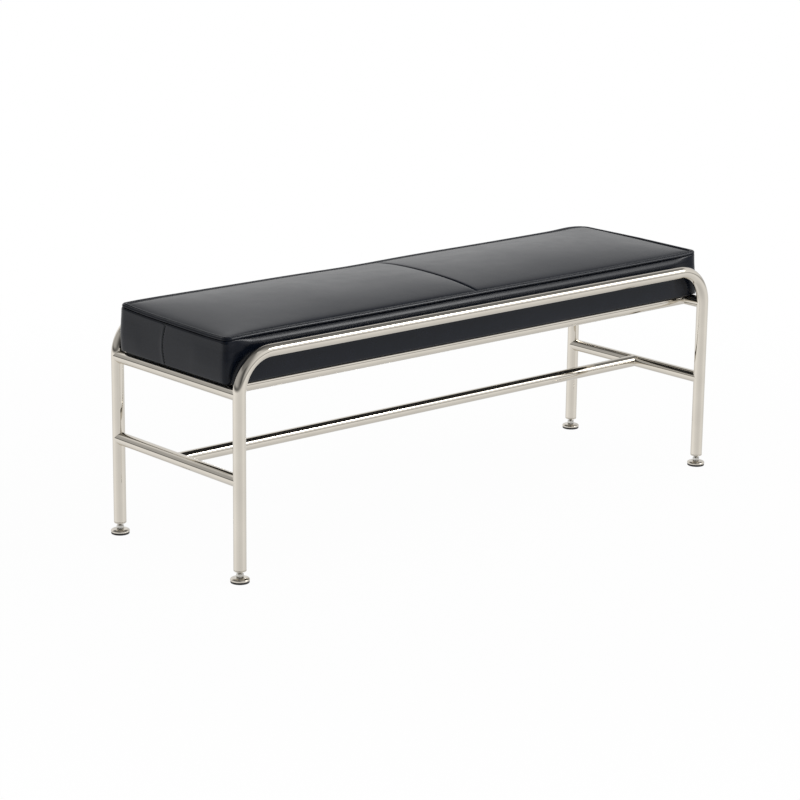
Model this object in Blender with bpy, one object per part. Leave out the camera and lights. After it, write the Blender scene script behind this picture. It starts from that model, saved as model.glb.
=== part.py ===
# Bed bench: a nickel-plated tube frame on levelling feet, with a boxed leather seat.
# Metres, +Z up. The origin lies on the floor below the middle of the seat, +X runs
# along the bench, and -Y is its front.

from math import cos, exp, pi, radians, sin, sqrt, tau

import bmesh
import bpy

# Frame tubes
FRAME_LENGTH = 1.300  # over the legs
FRAME_DEPTH = 0.420  # over the legs
TUBE_DIAMETER = 0.0254
TUBE_WALL = 0.0015
BEND_RADIUS = 0.076  # of a hoop's bends, to the tube's axis
TOP_RAIL_HEIGHT = 0.445  # this and the next two are heights of tube axes
SEAT_RAIL_HEIGHT = 0.369
STRETCHER_HEIGHT = 0.200
SEAT_RAIL_INSET = 0.055  # from the legs' axes in to the seat rails' axes

# Levelling feet, from the floor up
PAD_DIAMETER = 0.037
PAD_HEIGHT = 0.004
PAD_CHAMFER = 0.001
PAD_BOSS_HEIGHT = 0.0023  # the boss that stands inside the cap
CAP_DIAMETER = 0.038
CAP_WALL = 0.0012
CAP_RIM_HEIGHT = 0.0022
CAP_DOME_HEIGHT = 0.004
CAP_TOP_DIAMETER = 0.0165  # flat top that the hexagon turns on
CAP_DOME_SHARES = (0.35, 0.70)  # facets between the rim and the flat top
STUD_FOOT_DIAMETER = 0.0136  # swaged flange inside the cap
STUD_NECK_DIAMETER = 0.010
STUD_HEX = 0.013  # across flats
STUD_HEX_HEIGHT = 0.007
STUD_DIAMETER = 0.008
STUD_CHAMFER = 0.001
STUD_EXPOSED = 0.0045  # bare thread between the hexagon and the leg
STUD_REACH = 0.024  # thread inside the leg
PLUG_FLANGE = 0.003
PLUG_EDGE_RADIUS = 0.0022
PLUG_DEPTH = 0.020  # spigot inside the leg

# Seat
BOARD_THICKNESS = 0.012
LEATHER_THICKNESS = 0.002  # cover with its backing
HEM_WIDTH = 0.0105  # cover turned under the board
BOXING_HEIGHT = 0.090
SIDE_BULGE = 0.0035
BOTTOM_TUCK = 0.001
SEAM_GROOVE = 0.0015  # boxing drawn in under the welt
WELT_WIDTH = 0.0065
WELT_HEIGHT = 0.0075
WELT_ROUND = 0.002
STITCH_MARGIN = 0.002  # stitching inside the welt
STITCH_DIP = 0.001
CROWN = 0.016  # above the stitching
CORNER_RADIUS = 0.014
SIDE_DRAW = 0.002  # long sides pulled in at the middle of each panel
CENTRE_SEAM_DIP = 0.002
CENTRE_SEAM_SPREAD = 0.008
END_SEAM_SETBACK = 0.035  # boxing's end seams, behind the middle
END_OVERHANG = 0.0025  # end seams beyond the end rails' axes
SIDE_GAP = 0.0096  # cushion to hoop

# Seat fasteners
SCREW_SPAN_SHARE = 0.70  # of the frame's length, between a rail's outer screws
SCREWS_PER_RAIL = 3
SCREW_DIAMETER = 0.006
SCREW_HEAD_DIAMETER = 0.010
SCREW_HEAD_HEIGHT = 0.0035
SCREW_ACCESS = 0.0125  # hole in a seat rail's underside, for the screw and its key
SCREW_HEAD_PROFILE = ((0.45, 0.0), (0.85, 0.35), (1.0, 1.0))  # shares of radius and height
SCREW_TIP_DEPTH = 0.002  # below the board's top face
TEE_FLANGE_DIAMETER = 0.019
TEE_FLANGE = 0.0013
TEE_BARREL_DIAMETER = 0.0086
TEE_BARREL_LENGTH = 0.0075

# Clearances
SEAT_GAP = 0.0003  # between pieces that touch
THREAD_GAP = 0.00025  # round a screw thread

# Facets
TUBE_SIDES = 20
BEND_STEPS = 10
FOOT_SIDES = 20
STUD_SIDES = 12  # a multiple of six, for the hexagon's corners
SCREW_SIDES = 12
CORNER_STEPS = 6
SMOOTH_ANGLE = radians(38)

# Fullness of the crown: how late it falls towards the ends and the long sides
END_FULLNESS = 6.0
SIDE_FULLNESS = 2.6

# Share of the boxing's height, and of its bulge, from the welt down
BOXING_PROFILE = ((0.95, 0.45), (0.80, 0.90), (0.50, 1.00), (0.20, 0.90), (0.05, 0.60))

# Where the crown's facets lie, as shares of its half width, its straight and its corners
ROW_SHARES = (-1.0, -0.88, -0.68, -0.38, 0.0, 0.38, 0.68, 0.88, 1.0)
COLUMN_SHARES = (0.16, 0.36, 0.58, 0.78, 0.92)
CORNER_SHARES = (0.0, 0.5, 0.86, 1.0)

# Derived places
TUBE_RADIUS = TUBE_DIAMETER / 2
LEG_X = FRAME_LENGTH / 2 - TUBE_RADIUS
LEG_Y = FRAME_DEPTH / 2 - TUBE_RADIUS
BEND_START = TOP_RAIL_HEIGHT - BEND_RADIUS
BEND_SAG = BEND_RADIUS * (1 - cos(pi / 4 / BEND_STEPS))  # facets inside the true bend
SEAT_RAIL_Y = LEG_Y - SEAT_RAIL_INSET

CAP_BASE = PAD_HEIGHT + SEAT_GAP
CAP_TOP = CAP_BASE + CAP_RIM_HEIGHT + CAP_DOME_HEIGHT
HEX_BASE = CAP_TOP + SEAT_GAP
HEX_TOP = HEX_BASE + STUD_HEX_HEIGHT
PLUG_BASE = HEX_TOP + STUD_EXPOSED
LEG_END = PLUG_BASE + PLUG_FLANGE + SEAT_GAP

SEAT_BASE = SEAT_RAIL_HEIGHT + TUBE_RADIUS + SEAT_GAP
BOARD_BASE = LEATHER_THICKNESS + SEAT_GAP  # this and the next four are heights above SEAT_BASE
BOARD_TOP = BOARD_BASE + BOARD_THICKNESS
FOAM_BASE = BOARD_TOP + SEAT_GAP
RIM_BASE = BOXING_HEIGHT + SEAT_GAP
RIM_TOP = RIM_BASE + WELT_HEIGHT
COVER_HALF_WIDTH = LEG_Y - TUBE_RADIUS - SIDE_GAP - SIDE_BULGE  # along the welt's seam
STITCH_INSET = WELT_WIDTH + STITCH_MARGIN
FOAM_INSET = LEATHER_THICKNESS + SEAT_GAP
BOARD_INSET = BOTTOM_TUCK + FOAM_INSET
DUST_COVER_INSET = BOTTOM_TUCK + HEM_WIDTH + SEAT_GAP

CORNERS = {
    "front_left": (-LEG_X, -LEG_Y),
    "front_right": (LEG_X, -LEG_Y),
    "rear_left": (-LEG_X, LEG_Y),
    "rear_right": (LEG_X, LEG_Y),
}


def clear_scene():
    for old in list(bpy.data.objects):
        bpy.data.objects.remove(old, do_unlink=True)


def finish(name, colour, roughness, metallic=0.0):
    material = bpy.data.materials.new(name)
    material.use_nodes = True
    shader = material.node_tree.nodes["Principled BSDF"]
    shader.inputs["Base Color"].default_value = (*colour, 1.0)
    shader.inputs["Roughness"].default_value = roughness
    shader.inputs["Metallic"].default_value = metallic
    return material


# Mesh helpers

def closed_mesh(name, points, faces):
    mesh = bpy.data.meshes.new(name)
    mesh.from_pydata(points, [], faces)
    edit = bmesh.new()
    edit.from_mesh(mesh)
    bmesh.ops.recalc_face_normals(edit, faces=edit.faces)
    edit.to_mesh(mesh)
    edit.free()
    mesh.shade_smooth()
    mesh.set_sharp_from_angle(angle=SMOOTH_ANGLE)
    return mesh


def place(name, mesh, material, location=(0, 0, 0), turn=0.0, parent=None):
    piece = bpy.data.objects.new(name, mesh)
    piece.location = location
    piece.rotation_euler = (0, 0, turn)
    piece.parent = parent
    if not mesh.materials:
        mesh.materials.append(material)
    bpy.context.scene.collection.objects.link(piece)
    return piece


def anchor(name, location):
    empty = bpy.data.objects.new(name, None)
    empty.location = location
    bpy.context.scene.collection.objects.link(empty)
    return empty


def loft(name, rings, closed=False):
    # Skins equal rings of points in order, and closes the two ends, or joins last to first.
    count = len(rings[0])
    points = [point for ring in rings for point in ring]
    pairs = [(i, i + 1) for i in range(len(rings) - 1)]
    if closed:
        pairs.append((len(rings) - 1, 0))
    faces = []
    for a, b in pairs:
        for j in range(count):
            k = (j + 1) % count
            faces.append((a * count + j, a * count + k, b * count + k, b * count + j))
    if not closed:
        faces.append(tuple(range(count)))
        faces.append(tuple(range(len(points) - count, len(points))))
    return closed_mesh(name, points, faces)


def hexagon(across_flats):
    # Distance from the middle to the hexagon's edge, by angle.
    def reach(angle):
        return across_flats / 2 / cos((angle + pi / 6) % (pi / 3) - pi / 6)

    return reach


def turned(name, profile, sides, bored=False):
    # Spins (radius, height) points about Z. A radius may be a function of the angle.
    rings = []
    for radius, height in profile:
        ring = []
        for j in range(sides):
            angle = tau * j / sides
            reach = radius(angle) if callable(radius) else radius
            ring.append((reach * cos(angle), reach * sin(angle), height))
        rings.append(ring)
    return loft(name, rings, closed=bored)


def cut(piece, cutter):
    cutter.hide_render = True
    cutter.display_type = "WIRE"
    hole = piece.modifiers.new("holes", "BOOLEAN")
    hole.operation = "DIFFERENCE"
    hole.solver = "EXACT"
    hole.object = cutter


# Frame tubes

def hoop_line_x(height):
    # Distance of a hoop's axis from the middle of the bench, on its legs and bends.
    if height <= BEND_START:
        return LEG_X
    return LEG_X - BEND_RADIUS + sqrt(BEND_RADIUS**2 - (height - BEND_START) ** 2)


def hoop_setback(x, z):
    # How far in front of a hoop's plane its surface stands at this point, with the weld gap.
    if z <= BEND_START:
        beside = x - LEG_X
    else:
        beside = sqrt((x - LEG_X + BEND_RADIUS) ** 2 + (z - BEND_START) ** 2) - BEND_RADIUS
    reach = TUBE_RADIUS + SEAT_GAP + BEND_SAG
    return sqrt(max(reach**2 - beside**2, 0.0))


def tube_setback(up):
    # The same for a level tube that crosses at the same height.
    return sqrt((TUBE_RADIUS + SEAT_GAP) ** 2 - up**2)


def hoop_stations():
    # Points along a hoop's axis as (x, z) with the outward direction there.
    half = [((LEG_X, LEG_END), (1.0, 0.0))]
    for i in range(BEND_STEPS + 1):
        angle = pi / 2 * i / BEND_STEPS
        out = (cos(angle), sin(angle))
        x = LEG_X - BEND_RADIUS + BEND_RADIUS * out[0]
        half.append(((x, BEND_START + BEND_RADIUS * out[1]), out))
    mirrored = [((-x, z), (-out[0], out[1])) for (x, z), out in reversed(half)]
    return half + mirrored


def hoop_mesh():
    def rings(radius):
        made = []
        for (x, z), out in hoop_stations():
            ring = []
            for j in range(TUBE_SIDES):
                angle = tau * j / TUBE_SIDES
                away = radius * cos(angle)
                ring.append((x + away * out[0], radius * sin(angle), z + away * out[1]))
            made.append(ring)
        return made

    inside = rings(TUBE_RADIUS - TUBE_WALL)
    return loft("hoop", rings(TUBE_RADIUS) + inside[::-1], closed=True)


def coped_tube(name, half_span, setback):
    # Straight tube along Y between two others, with ends cut to sit on their curve.
    def ring(radius, side):
        made = []
        for j in range(TUBE_SIDES):
            angle = tau * j / TUBE_SIDES
            across = radius * cos(angle)
            up = radius * sin(angle)
            made.append((across, side * (half_span - setback(across, up)), up))
        return made

    bore = TUBE_RADIUS - TUBE_WALL
    rings = [ring(TUBE_RADIUS, -1), ring(TUBE_RADIUS, 1), ring(bore, 1), ring(bore, -1)]
    return loft(name, rings, closed=True)


def screw_places():
    span = SCREW_SPAN_SHARE * FRAME_LENGTH
    step = span / (SCREWS_PER_RAIL - 1)
    return [i * step - span / 2 for i in range(SCREWS_PER_RAIL)]


def drill(name, profile):
    # One turned cutter for each seat screw, joined into one object for each rail.
    made = []
    for side, y in (("front", -SEAT_RAIL_Y), ("rear", SEAT_RAIL_Y)):
        points = []
        faces = []
        for x in screw_places():
            bit = turned(f"{side}_{name}", profile, SCREW_SIDES)
            start = len(points)
            points += [(v.co.x + x, v.co.y + y, v.co.z) for v in bit.vertices]
            faces += [tuple(start + i for i in face.vertices) for face in bit.polygons]
            bpy.data.meshes.remove(bit)
        made.append(place(f"{side}_{name}", closed_mesh(f"{side}_{name}", points, faces), None))
    return made


def build_frame(nickel):
    hoop = hoop_mesh()
    place("front_hoop", hoop, nickel, (0, -LEG_Y, 0))
    place("rear_hoop", hoop, nickel, (0, LEG_Y, 0))

    for label, height in (("end_rail", SEAT_RAIL_HEIGHT), ("end_stretcher", STRETCHER_HEIGHT)):
        x = hoop_line_x(height)

        def setback(across, up, x=x, height=height):
            return hoop_setback(x + across, height + up)

        tube = coped_tube(label, LEG_Y, setback)
        place(f"right_{label}", tube, nickel, (x, 0, height))
        place(f"left_{label}", tube, nickel, (-x, 0, height), turn=pi)

    def level_setback(across, up):
        return tube_setback(up)

    stretcher = coped_tube("stretcher", hoop_line_x(STRETCHER_HEIGHT), level_setback)
    place("centre_stretcher", stretcher, nickel, (0, 0, STRETCHER_HEIGHT), turn=pi / 2)

    rail = coped_tube("seat_rail", hoop_line_x(SEAT_RAIL_HEIGHT), level_setback)
    hole = SCREW_DIAMETER / 2 + SEAT_GAP
    low = SEAT_RAIL_HEIGHT - TUBE_DIAMETER
    high = SEAT_RAIL_HEIGHT + TUBE_DIAMETER
    access = SCREW_ACCESS / 2
    middle = SEAT_RAIL_HEIGHT
    drills = drill("rail_drill", ((access, low), (access, middle), (hole, middle), (hole, high)))
    for side, y, cutter in zip(("front", "rear"), (-SEAT_RAIL_Y, SEAT_RAIL_Y), drills):
        piece = place(f"{side}_seat_rail", rail, nickel, (0, y, SEAT_RAIL_HEIGHT), turn=pi / 2)
        cut(piece, cutter)


# Levelling feet

def pad_mesh():
    outer = PAD_DIAMETER / 2
    boss = CAP_DIAMETER / 2 - CAP_WALL - SEAT_GAP
    boss_top = PAD_HEIGHT + PAD_BOSS_HEIGHT
    profile = (
        (outer - PAD_CHAMFER, 0.0),
        (outer, PAD_CHAMFER),
        (outer, PAD_HEIGHT),
        (boss, PAD_HEIGHT),
        (boss, boss_top),
    )
    return turned("foot_pad", profile, FOOT_SIDES)


def cap_mesh():
    # Pressed shell: a rim, a dome that rises to a flat top, and a hole for the stud's neck.
    rim = CAP_DIAMETER / 2
    top = CAP_TOP_DIAMETER / 2
    hole = STUD_NECK_DIAMETER / 2 + SEAT_GAP
    shoulder = CAP_BASE + CAP_RIM_HEIGHT
    outside = [(rim, CAP_BASE), (rim, shoulder)]
    for share in CAP_DOME_SHARES:
        bow = sin(share * pi / 2)
        outside.append((rim + (top - rim) * share, shoulder + CAP_DOME_HEIGHT * bow))
    outside += [(top, CAP_TOP), (hole, CAP_TOP)]
    under = CAP_TOP - CAP_WALL
    inside = [(hole, under), (top, under), (rim - CAP_WALL, shoulder), (rim - CAP_WALL, CAP_BASE)]
    return turned("foot_cap", outside + inside, FOOT_SIDES, bored=True)


def stud_mesh():
    thread = STUD_DIAMETER / 2
    neck = STUD_NECK_DIAMETER / 2
    foot = STUD_FOOT_DIAMETER / 2
    foot_base = PAD_HEIGHT + PAD_BOSS_HEIGHT + SEAT_GAP
    foot_top = CAP_TOP - CAP_WALL - SEAT_GAP
    tip = PLUG_BASE + STUD_REACH
    profile = (
        (foot, foot_base),
        (foot, foot_top),
        (neck, foot_top),
        (neck, HEX_BASE),
        (hexagon(STUD_HEX), HEX_BASE),
        (hexagon(STUD_HEX), HEX_TOP),
        (thread, HEX_TOP),
        (thread, tip - STUD_CHAMFER),
        (thread - STUD_CHAMFER, tip),
    )
    return turned("foot_stud", profile, STUD_SIDES)


def plug_mesh():
    # Threaded end of a leg: a flange as wide as the tube, and a spigot inside it.
    bore = STUD_DIAMETER / 2 + THREAD_GAP
    spigot = TUBE_RADIUS - TUBE_WALL - SEAT_GAP
    flange_top = PLUG_BASE + PLUG_FLANGE
    edge = min(PLUG_EDGE_RADIUS, PLUG_FLANGE)
    profile = [(bore, PLUG_BASE)]
    for angle in (0.0, pi / 4, pi / 2):
        out = TUBE_RADIUS - edge * (1 - sin(angle))
        profile.append((out, PLUG_BASE + edge * (1 - cos(angle))))
    if edge < PLUG_FLANGE:
        profile.append((TUBE_RADIUS, flange_top))
    profile += [(spigot, flange_top), (spigot, LEG_END + PLUG_DEPTH), (bore, LEG_END + PLUG_DEPTH)]
    return turned("leg_plug", profile, FOOT_SIDES, bored=True)


def build_feet(nickel, steel, plastic):
    pieces = (
        ("leg_plug", plug_mesh(), nickel),
        ("foot_stud", stud_mesh(), steel),
        ("foot_cap", cap_mesh(), nickel),
        ("foot_pad", pad_mesh(), plastic),
    )
    for corner, (x, y) in CORNERS.items():
        axis = anchor(f"{corner}_foot_axis", (x, y, 0))
        for label, mesh, material in pieces:
            place(f"{corner}_{label}", mesh, material, parent=axis)


# Cushion shape, above SEAT_BASE

def cover_half_length():
    # The cover's end seams lie just outside the end rails' axes.
    return hoop_line_x(SEAT_RAIL_HEIGHT) + END_OVERHANG


def half_width(x, inset=0.0):
    # Half the cushion's width at x: a rounded rectangle with its long sides drawn in.
    along = abs(x)
    straight = cover_half_length() - CORNER_RADIUS
    if along > straight:
        round_off = (CORNER_RADIUS - inset) ** 2 - (along - straight) ** 2
        return COVER_HALF_WIDTH - CORNER_RADIUS + sqrt(max(round_off, 0.0))
    return COVER_HALF_WIDTH - inset - SIDE_DRAW * sin(pi * along / straight) ** 2


def outline_normal(x, y):
    # Outward direction of the cushion's outline at a point on it.
    side_x = 1 if x > 0 else -1
    side_y = 1 if y > 0 else -1
    over_x = abs(x) - (cover_half_length() - CORNER_RADIUS)
    over_y = abs(y) - (COVER_HALF_WIDTH - CORNER_RADIUS)
    if over_x <= 0:
        return 0.0, side_y
    if over_y <= 0:
        return side_x, 0.0
    reach = sqrt(over_x**2 + over_y**2)
    return side_x * over_x / reach, side_y * over_y / reach


def boxing_offset(height):
    # How far the boxing's face stands out from the outline at this height.
    profile = [(0.0, -BOTTOM_TUCK)]
    profile += [(share * BOXING_HEIGHT, bulge * SIDE_BULGE) for share, bulge in BOXING_PROFILE[::-1]]
    profile.append((BOXING_HEIGHT, -SEAM_GROOVE))
    for (low, out_low), (high, out_high) in zip(profile, profile[1:]):
        if height <= high:
            return out_low + (out_high - out_low) * (height - low) / (high - low)
    return -SEAM_GROOVE


def cover_top(x, y):
    # Crown inside the welt, with the dip along the centre seam.
    along = min(abs(x) / (cover_half_length() - STITCH_INSET), 1.0)
    across = min(abs(y) / half_width(x, STITCH_INSET), 1.0)
    crown = CROWN * (1 - along**END_FULLNESS) * (1 - across**SIDE_FULLNESS)
    seam = CENTRE_SEAM_DIP * exp(-((x / CENTRE_SEAM_SPREAD) ** 2))
    return RIM_TOP - STITCH_DIP + crown - seam


def crown_columns():
    # Facet places along half the crown, from the centre seam to the end's stitching.
    straight = cover_half_length() - CORNER_RADIUS
    columns = [SEAT_GAP / 2, CENTRE_SEAM_SPREAD / 2, CENTRE_SEAM_SPREAD, 2 * CENTRE_SEAM_SPREAD]
    columns += [share * straight for share in COLUMN_SHARES]
    arc = CORNER_RADIUS - STITCH_INSET
    return columns + [straight + arc * share for share in CORNER_SHARES]


def crown_grid(columns, drop=0.0):
    grid = []
    for x in columns:
        wide = half_width(x, STITCH_INSET)
        grid.append([(x, share * wide, cover_top(x, share * wide) - drop) for share in ROW_SHARES])
    return grid


def grid_faces(grid, start):
    # Two triangles for each cell, cut from the corner nearer the centre seam.
    rows = len(grid[0])
    faces = []
    for i in range(len(grid) - 1):
        near = start + i * rows
        far = near + rows
        if abs(grid[i][0][0]) > abs(grid[i + 1][0][0]):
            near, far = far, near
        for j in range(rows - 1):
            faces.append((near + j, far + j, far + j + 1))
            faces.append((near + j, far + j + 1, near + j + 1))
    return faces


def rim_places(grid):
    # The grid's front side, far end and rear side, as (column, row) in order.
    last = len(grid) - 1
    rows = len(grid[0])
    around = [(i, 0) for i in range(last + 1)]
    around += [(last, j) for j in range(1, rows)]
    return around + [(i, rows - 1) for i in range(last - 1, -1, -1)]


def rim_ring(grid, places, inset, height):
    # The grid's border carried out from the stitching to this inset, and level.
    ring = []
    for i, j in places:
        x, y, _ = grid[i][j]
        away_x, away_y = outline_normal(x, y)
        out = STITCH_INSET - inset
        ring.append((x + out * away_x, y + out * away_y, height))
    return ring


def strip_faces(upper, lower, closed):
    count = len(upper)
    faces = []
    for j in range(count if closed else count - 1):
        k = (j + 1) % count
        faces.append((upper[j], upper[k], lower[k], lower[j]))
    return faces


def top_panel_mesh(side):
    # Half of the crown with its welted rim. The welt's turned edge stands on the boxing.
    top = crown_grid(crown_columns())
    under = crown_grid(crown_columns(), LEATHER_THICKNESS)
    places = rim_places(top)
    rows = len(top[0])
    points = [point for column in top + under for point in column]
    below = len(points) // 2
    faces = grid_faces(top, 0) + grid_faces(under, below)
    strip = [i * rows + j for i, j in places]
    strips = [strip]
    welt = (
        (WELT_WIDTH, RIM_TOP),
        (WELT_ROUND, RIM_TOP),
        (0.0, RIM_TOP - WELT_ROUND),
        (0.0, RIM_BASE),
        (WELT_WIDTH, RIM_BASE),
    )
    for inset, height in welt:
        start = len(points)
        points += rim_ring(top, places, inset, height)
        strips.append(list(range(start, start + len(places))))
    strips.append([below + i for i in strip])
    for upper, lower in zip(strips, strips[1:]):
        faces += strip_faces(upper, lower, closed=False)
    seam = list(range(rows)) + [s[-1] for s in strips[1:-1]]
    seam += [below + j for j in reversed(range(rows))] + [s[0] for s in reversed(strips[1:-1])]
    faces.append(tuple(seam))
    return closed_mesh("top_panel", [(side * x, y, z) for x, y, z in points], faces)


def foam_mesh():
    # Fills the cover: the crown's underside, a ledge under the welt, and the bulged sides.
    half = crown_columns()
    grid = crown_grid([-x for x in reversed(half)] + half, LEATHER_THICKNESS + SEAT_GAP)
    rows = len(grid[0])
    front_and_rear = rim_places(grid)
    places = front_and_rear + [(0, j) for j in range(rows - 2, 0, -1)]
    points = [point for column in grid for point in column]
    faces = grid_faces(grid, 0)
    ledge = RIM_BASE - SEAT_GAP
    rings = [(WELT_WIDTH + SEAT_GAP, ledge), (FOAM_INSET + SEAM_GROOVE, ledge)]
    levels = [share * BOXING_HEIGHT for share, bulge in BOXING_PROFILE]
    for level in [level for level in levels if level > FOAM_BASE] + [FOAM_BASE]:
        rings.append((FOAM_INSET - boxing_offset(level), level))
    upper = [i * rows + j for i, j in places]
    for inset, height in rings:
        start = len(points)
        points += rim_ring(grid, places, inset, height)
        lower = list(range(start, start + len(places)))
        faces += strip_faces(upper, lower, closed=True)
        upper = lower
    faces.append(tuple(upper))
    return closed_mesh("foam", points, faces)


def outline_path(side):
    # Seam outline with its normals, from one end seam round the front or rear to the other.
    end = cover_half_length()
    straight = end - CORNER_RADIUS
    start = side * END_SEAM_SETBACK + SEAT_GAP / 2
    corner_y = COVER_HALF_WIDTH - CORNER_RADIUS
    half = [((end, start), (1.0, 0.0))]
    for i in range(CORNER_STEPS + 1):
        angle = pi / 2 * i / CORNER_STEPS
        out = (cos(angle), sin(angle))
        point = (straight + CORNER_RADIUS * out[0], corner_y + CORNER_RADIUS * out[1])
        half.append((point, out))
    for share in COLUMN_SHARES[::-1]:
        half.append(((share * straight, half_width(share * straight)), (0.0, 1.0)))
    middle = [((0.0, half_width(0.0)), (0.0, 1.0))]
    mirrored = [((-x, y), (-out[0], out[1])) for (x, y), out in reversed(half)]
    path = half + middle + mirrored
    return [((x, side * y), (out[0], side * out[1])) for (x, y), out in path]


def boxing_section():
    # Loop of (offset, height): down the face, under the hem, and back up inside.
    face = [(-SEAM_GROOVE, BOXING_HEIGHT)]
    face += [(bulge * SIDE_BULGE, share * BOXING_HEIGHT) for share, bulge in BOXING_PROFILE]
    hem = -BOTTOM_TUCK - HEM_WIDTH
    turn = -BOTTOM_TUCK - LEATHER_THICKNESS
    under = [(-BOTTOM_TUCK, 0.0), (hem, 0.0), (hem, LEATHER_THICKNESS), (turn, LEATHER_THICKNESS)]
    inside = [(out - LEATHER_THICKNESS, height) for out, height in reversed(face)]
    return face + under + inside


def boxing_mesh(side):
    section = boxing_section()
    rings = []
    for (x, y), (away_x, away_y) in outline_path(side):
        rings.append([(x + out * away_x, y + out * away_y, z) for out, z in section])
    return loft("boxing", rings)


def flat_outline(inset):
    # Rounded rectangle inside the cushion's outline, clear of its drawn-in sides.
    radius = CORNER_RADIUS - inset
    corner_x = cover_half_length() - CORNER_RADIUS
    corner_y = COVER_HALF_WIDTH - SIDE_DRAW - CORNER_RADIUS
    points = []
    for quarter in range(4):
        side_x = 1 if quarter in (0, 3) else -1
        side_y = 1 if quarter in (0, 1) else -1
        for i in range(CORNER_STEPS + 1):
            angle = pi / 2 * (quarter + i / CORNER_STEPS)
            x = side_x * corner_x + radius * cos(angle)
            points.append((x, side_y * corner_y + radius * sin(angle)))
    return points


def sheet_mesh(name, inset, low, high):
    outline = flat_outline(inset)
    return loft(name, [[(x, y, low) for x, y in outline], [(x, y, high) for x, y in outline]])


# Seat fasteners, above SEAT_BASE

def tee_nut_mesh():
    bore = SCREW_DIAMETER / 2 + THREAD_GAP
    barrel = TEE_BARREL_DIAMETER / 2
    flange = TEE_FLANGE_DIAMETER / 2
    top = BOARD_TOP - SEAT_GAP
    under = top - TEE_FLANGE
    low = under - TEE_BARREL_LENGTH
    profile = ((bore, top), (flange, top), (flange, under), (barrel, under), (barrel, low), (bore, low))
    return turned("tee_nut", profile, SCREW_SIDES, bored=True)


def screw_mesh():
    # Round-headed screw inside the seat rail, against its upper wall, up into the tee nut.
    shank = SCREW_DIAMETER / 2
    head = SCREW_HEAD_DIAMETER / 2
    bore = (TUBE_RADIUS - TUBE_WALL) * cos(pi / TUBE_SIDES)
    bearing = sqrt(bore**2 - head**2) - TUBE_RADIUS - 2 * SEAT_GAP
    low = bearing - SCREW_HEAD_HEIGHT
    profile = [(out * head, low + up * SCREW_HEAD_HEIGHT) for out, up in SCREW_HEAD_PROFILE]
    profile += [(shank, bearing), (shank, BOARD_TOP - SCREW_TIP_DEPTH)]
    return turned("seat_screw", profile, SCREW_SIDES)


def board_drill():
    barrel = TEE_BARREL_DIAMETER / 2 + SEAT_GAP
    flange = TEE_FLANGE_DIAMETER / 2 + SEAT_GAP
    recess = SEAT_BASE + BOARD_TOP - TEE_FLANGE - 2 * SEAT_GAP
    low = SEAT_BASE + BOARD_BASE - BOARD_THICKNESS
    high = SEAT_BASE + BOARD_TOP + BOARD_THICKNESS
    return ((barrel, low), (barrel, recess), (flange, recess), (flange, high))


def build_seat(leather, foam, wood, cloth, steel):
    seat = anchor("seat", (0, 0, SEAT_BASE))
    place("left_top_panel", top_panel_mesh(-1), leather, parent=seat)
    place("right_top_panel", top_panel_mesh(1), leather, parent=seat)
    place("front_boxing", boxing_mesh(-1), leather, parent=seat)
    place("rear_boxing", boxing_mesh(1), leather, parent=seat)
    place("seat_foam", foam_mesh(), foam, parent=seat)

    board = sheet_mesh("board", BOARD_INSET, BOARD_BASE, BOARD_TOP)
    board = place("seat_board", board, wood, parent=seat)
    for cutter in drill("board_drill", board_drill()):
        cut(board, cutter)

    cover = sheet_mesh("dust_cover", DUST_COVER_INSET, 0.0, LEATHER_THICKNESS)
    cover = place("dust_cover", cover, cloth, parent=seat)
    hole = SCREW_DIAMETER / 2 + SEAT_GAP
    profile = ((hole, SEAT_BASE - LEATHER_THICKNESS), (hole, SEAT_BASE + 2 * LEATHER_THICKNESS))
    for cutter in drill("cover_drill", profile):
        cut(cover, cutter)

    screw = screw_mesh()
    nut = tee_nut_mesh()
    for side, y in (("front", -SEAT_RAIL_Y), ("rear", SEAT_RAIL_Y)):
        for number, x in enumerate(screw_places(), start=1):
            place(f"{side}_seat_screw_{number}", screw, steel, (x, y, 0), parent=seat)
            place(f"{side}_tee_nut_{number}", nut, steel, (x, y, 0), parent=seat)


def main():
    clear_scene()
    nickel = finish("nickel_plate", (0.78, 0.75, 0.69), 0.14, 1.0)
    steel = finish("zinc_steel", (0.62, 0.62, 0.60), 0.32, 1.0)
    plastic = finish("black_plastic", (0.018, 0.018, 0.019), 0.5)
    leather = finish("black_leather", (0.016, 0.017, 0.020), 0.42)
    foam = finish("foam", (0.86, 0.80, 0.62), 0.9)
    wood = finish("plywood", (0.62, 0.46, 0.29), 0.65)
    cloth = finish("black_cloth", (0.02, 0.02, 0.02), 0.9)
    build_frame(nickel)
    build_feet(nickel, steel, plastic)
    build_seat(leather, foam, wood, cloth, steel)


main()
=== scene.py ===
import bmesh
import bpy
import numpy as np
from mathutils import Matrix


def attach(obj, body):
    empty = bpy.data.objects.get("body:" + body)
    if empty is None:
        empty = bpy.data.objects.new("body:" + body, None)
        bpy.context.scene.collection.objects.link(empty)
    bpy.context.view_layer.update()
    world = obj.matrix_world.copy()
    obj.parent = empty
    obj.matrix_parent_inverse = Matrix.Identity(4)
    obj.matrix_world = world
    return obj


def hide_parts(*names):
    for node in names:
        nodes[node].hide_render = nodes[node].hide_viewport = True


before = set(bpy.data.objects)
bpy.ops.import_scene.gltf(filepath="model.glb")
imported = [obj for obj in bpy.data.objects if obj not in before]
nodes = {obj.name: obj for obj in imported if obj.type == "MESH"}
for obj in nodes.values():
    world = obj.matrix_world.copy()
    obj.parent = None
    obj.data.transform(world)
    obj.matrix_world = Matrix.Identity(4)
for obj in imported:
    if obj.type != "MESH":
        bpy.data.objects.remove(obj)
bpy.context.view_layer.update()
scene = bpy.context.scene
joined = np.concatenate
print("frame loaded:", len(nodes), "nodes")


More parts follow.
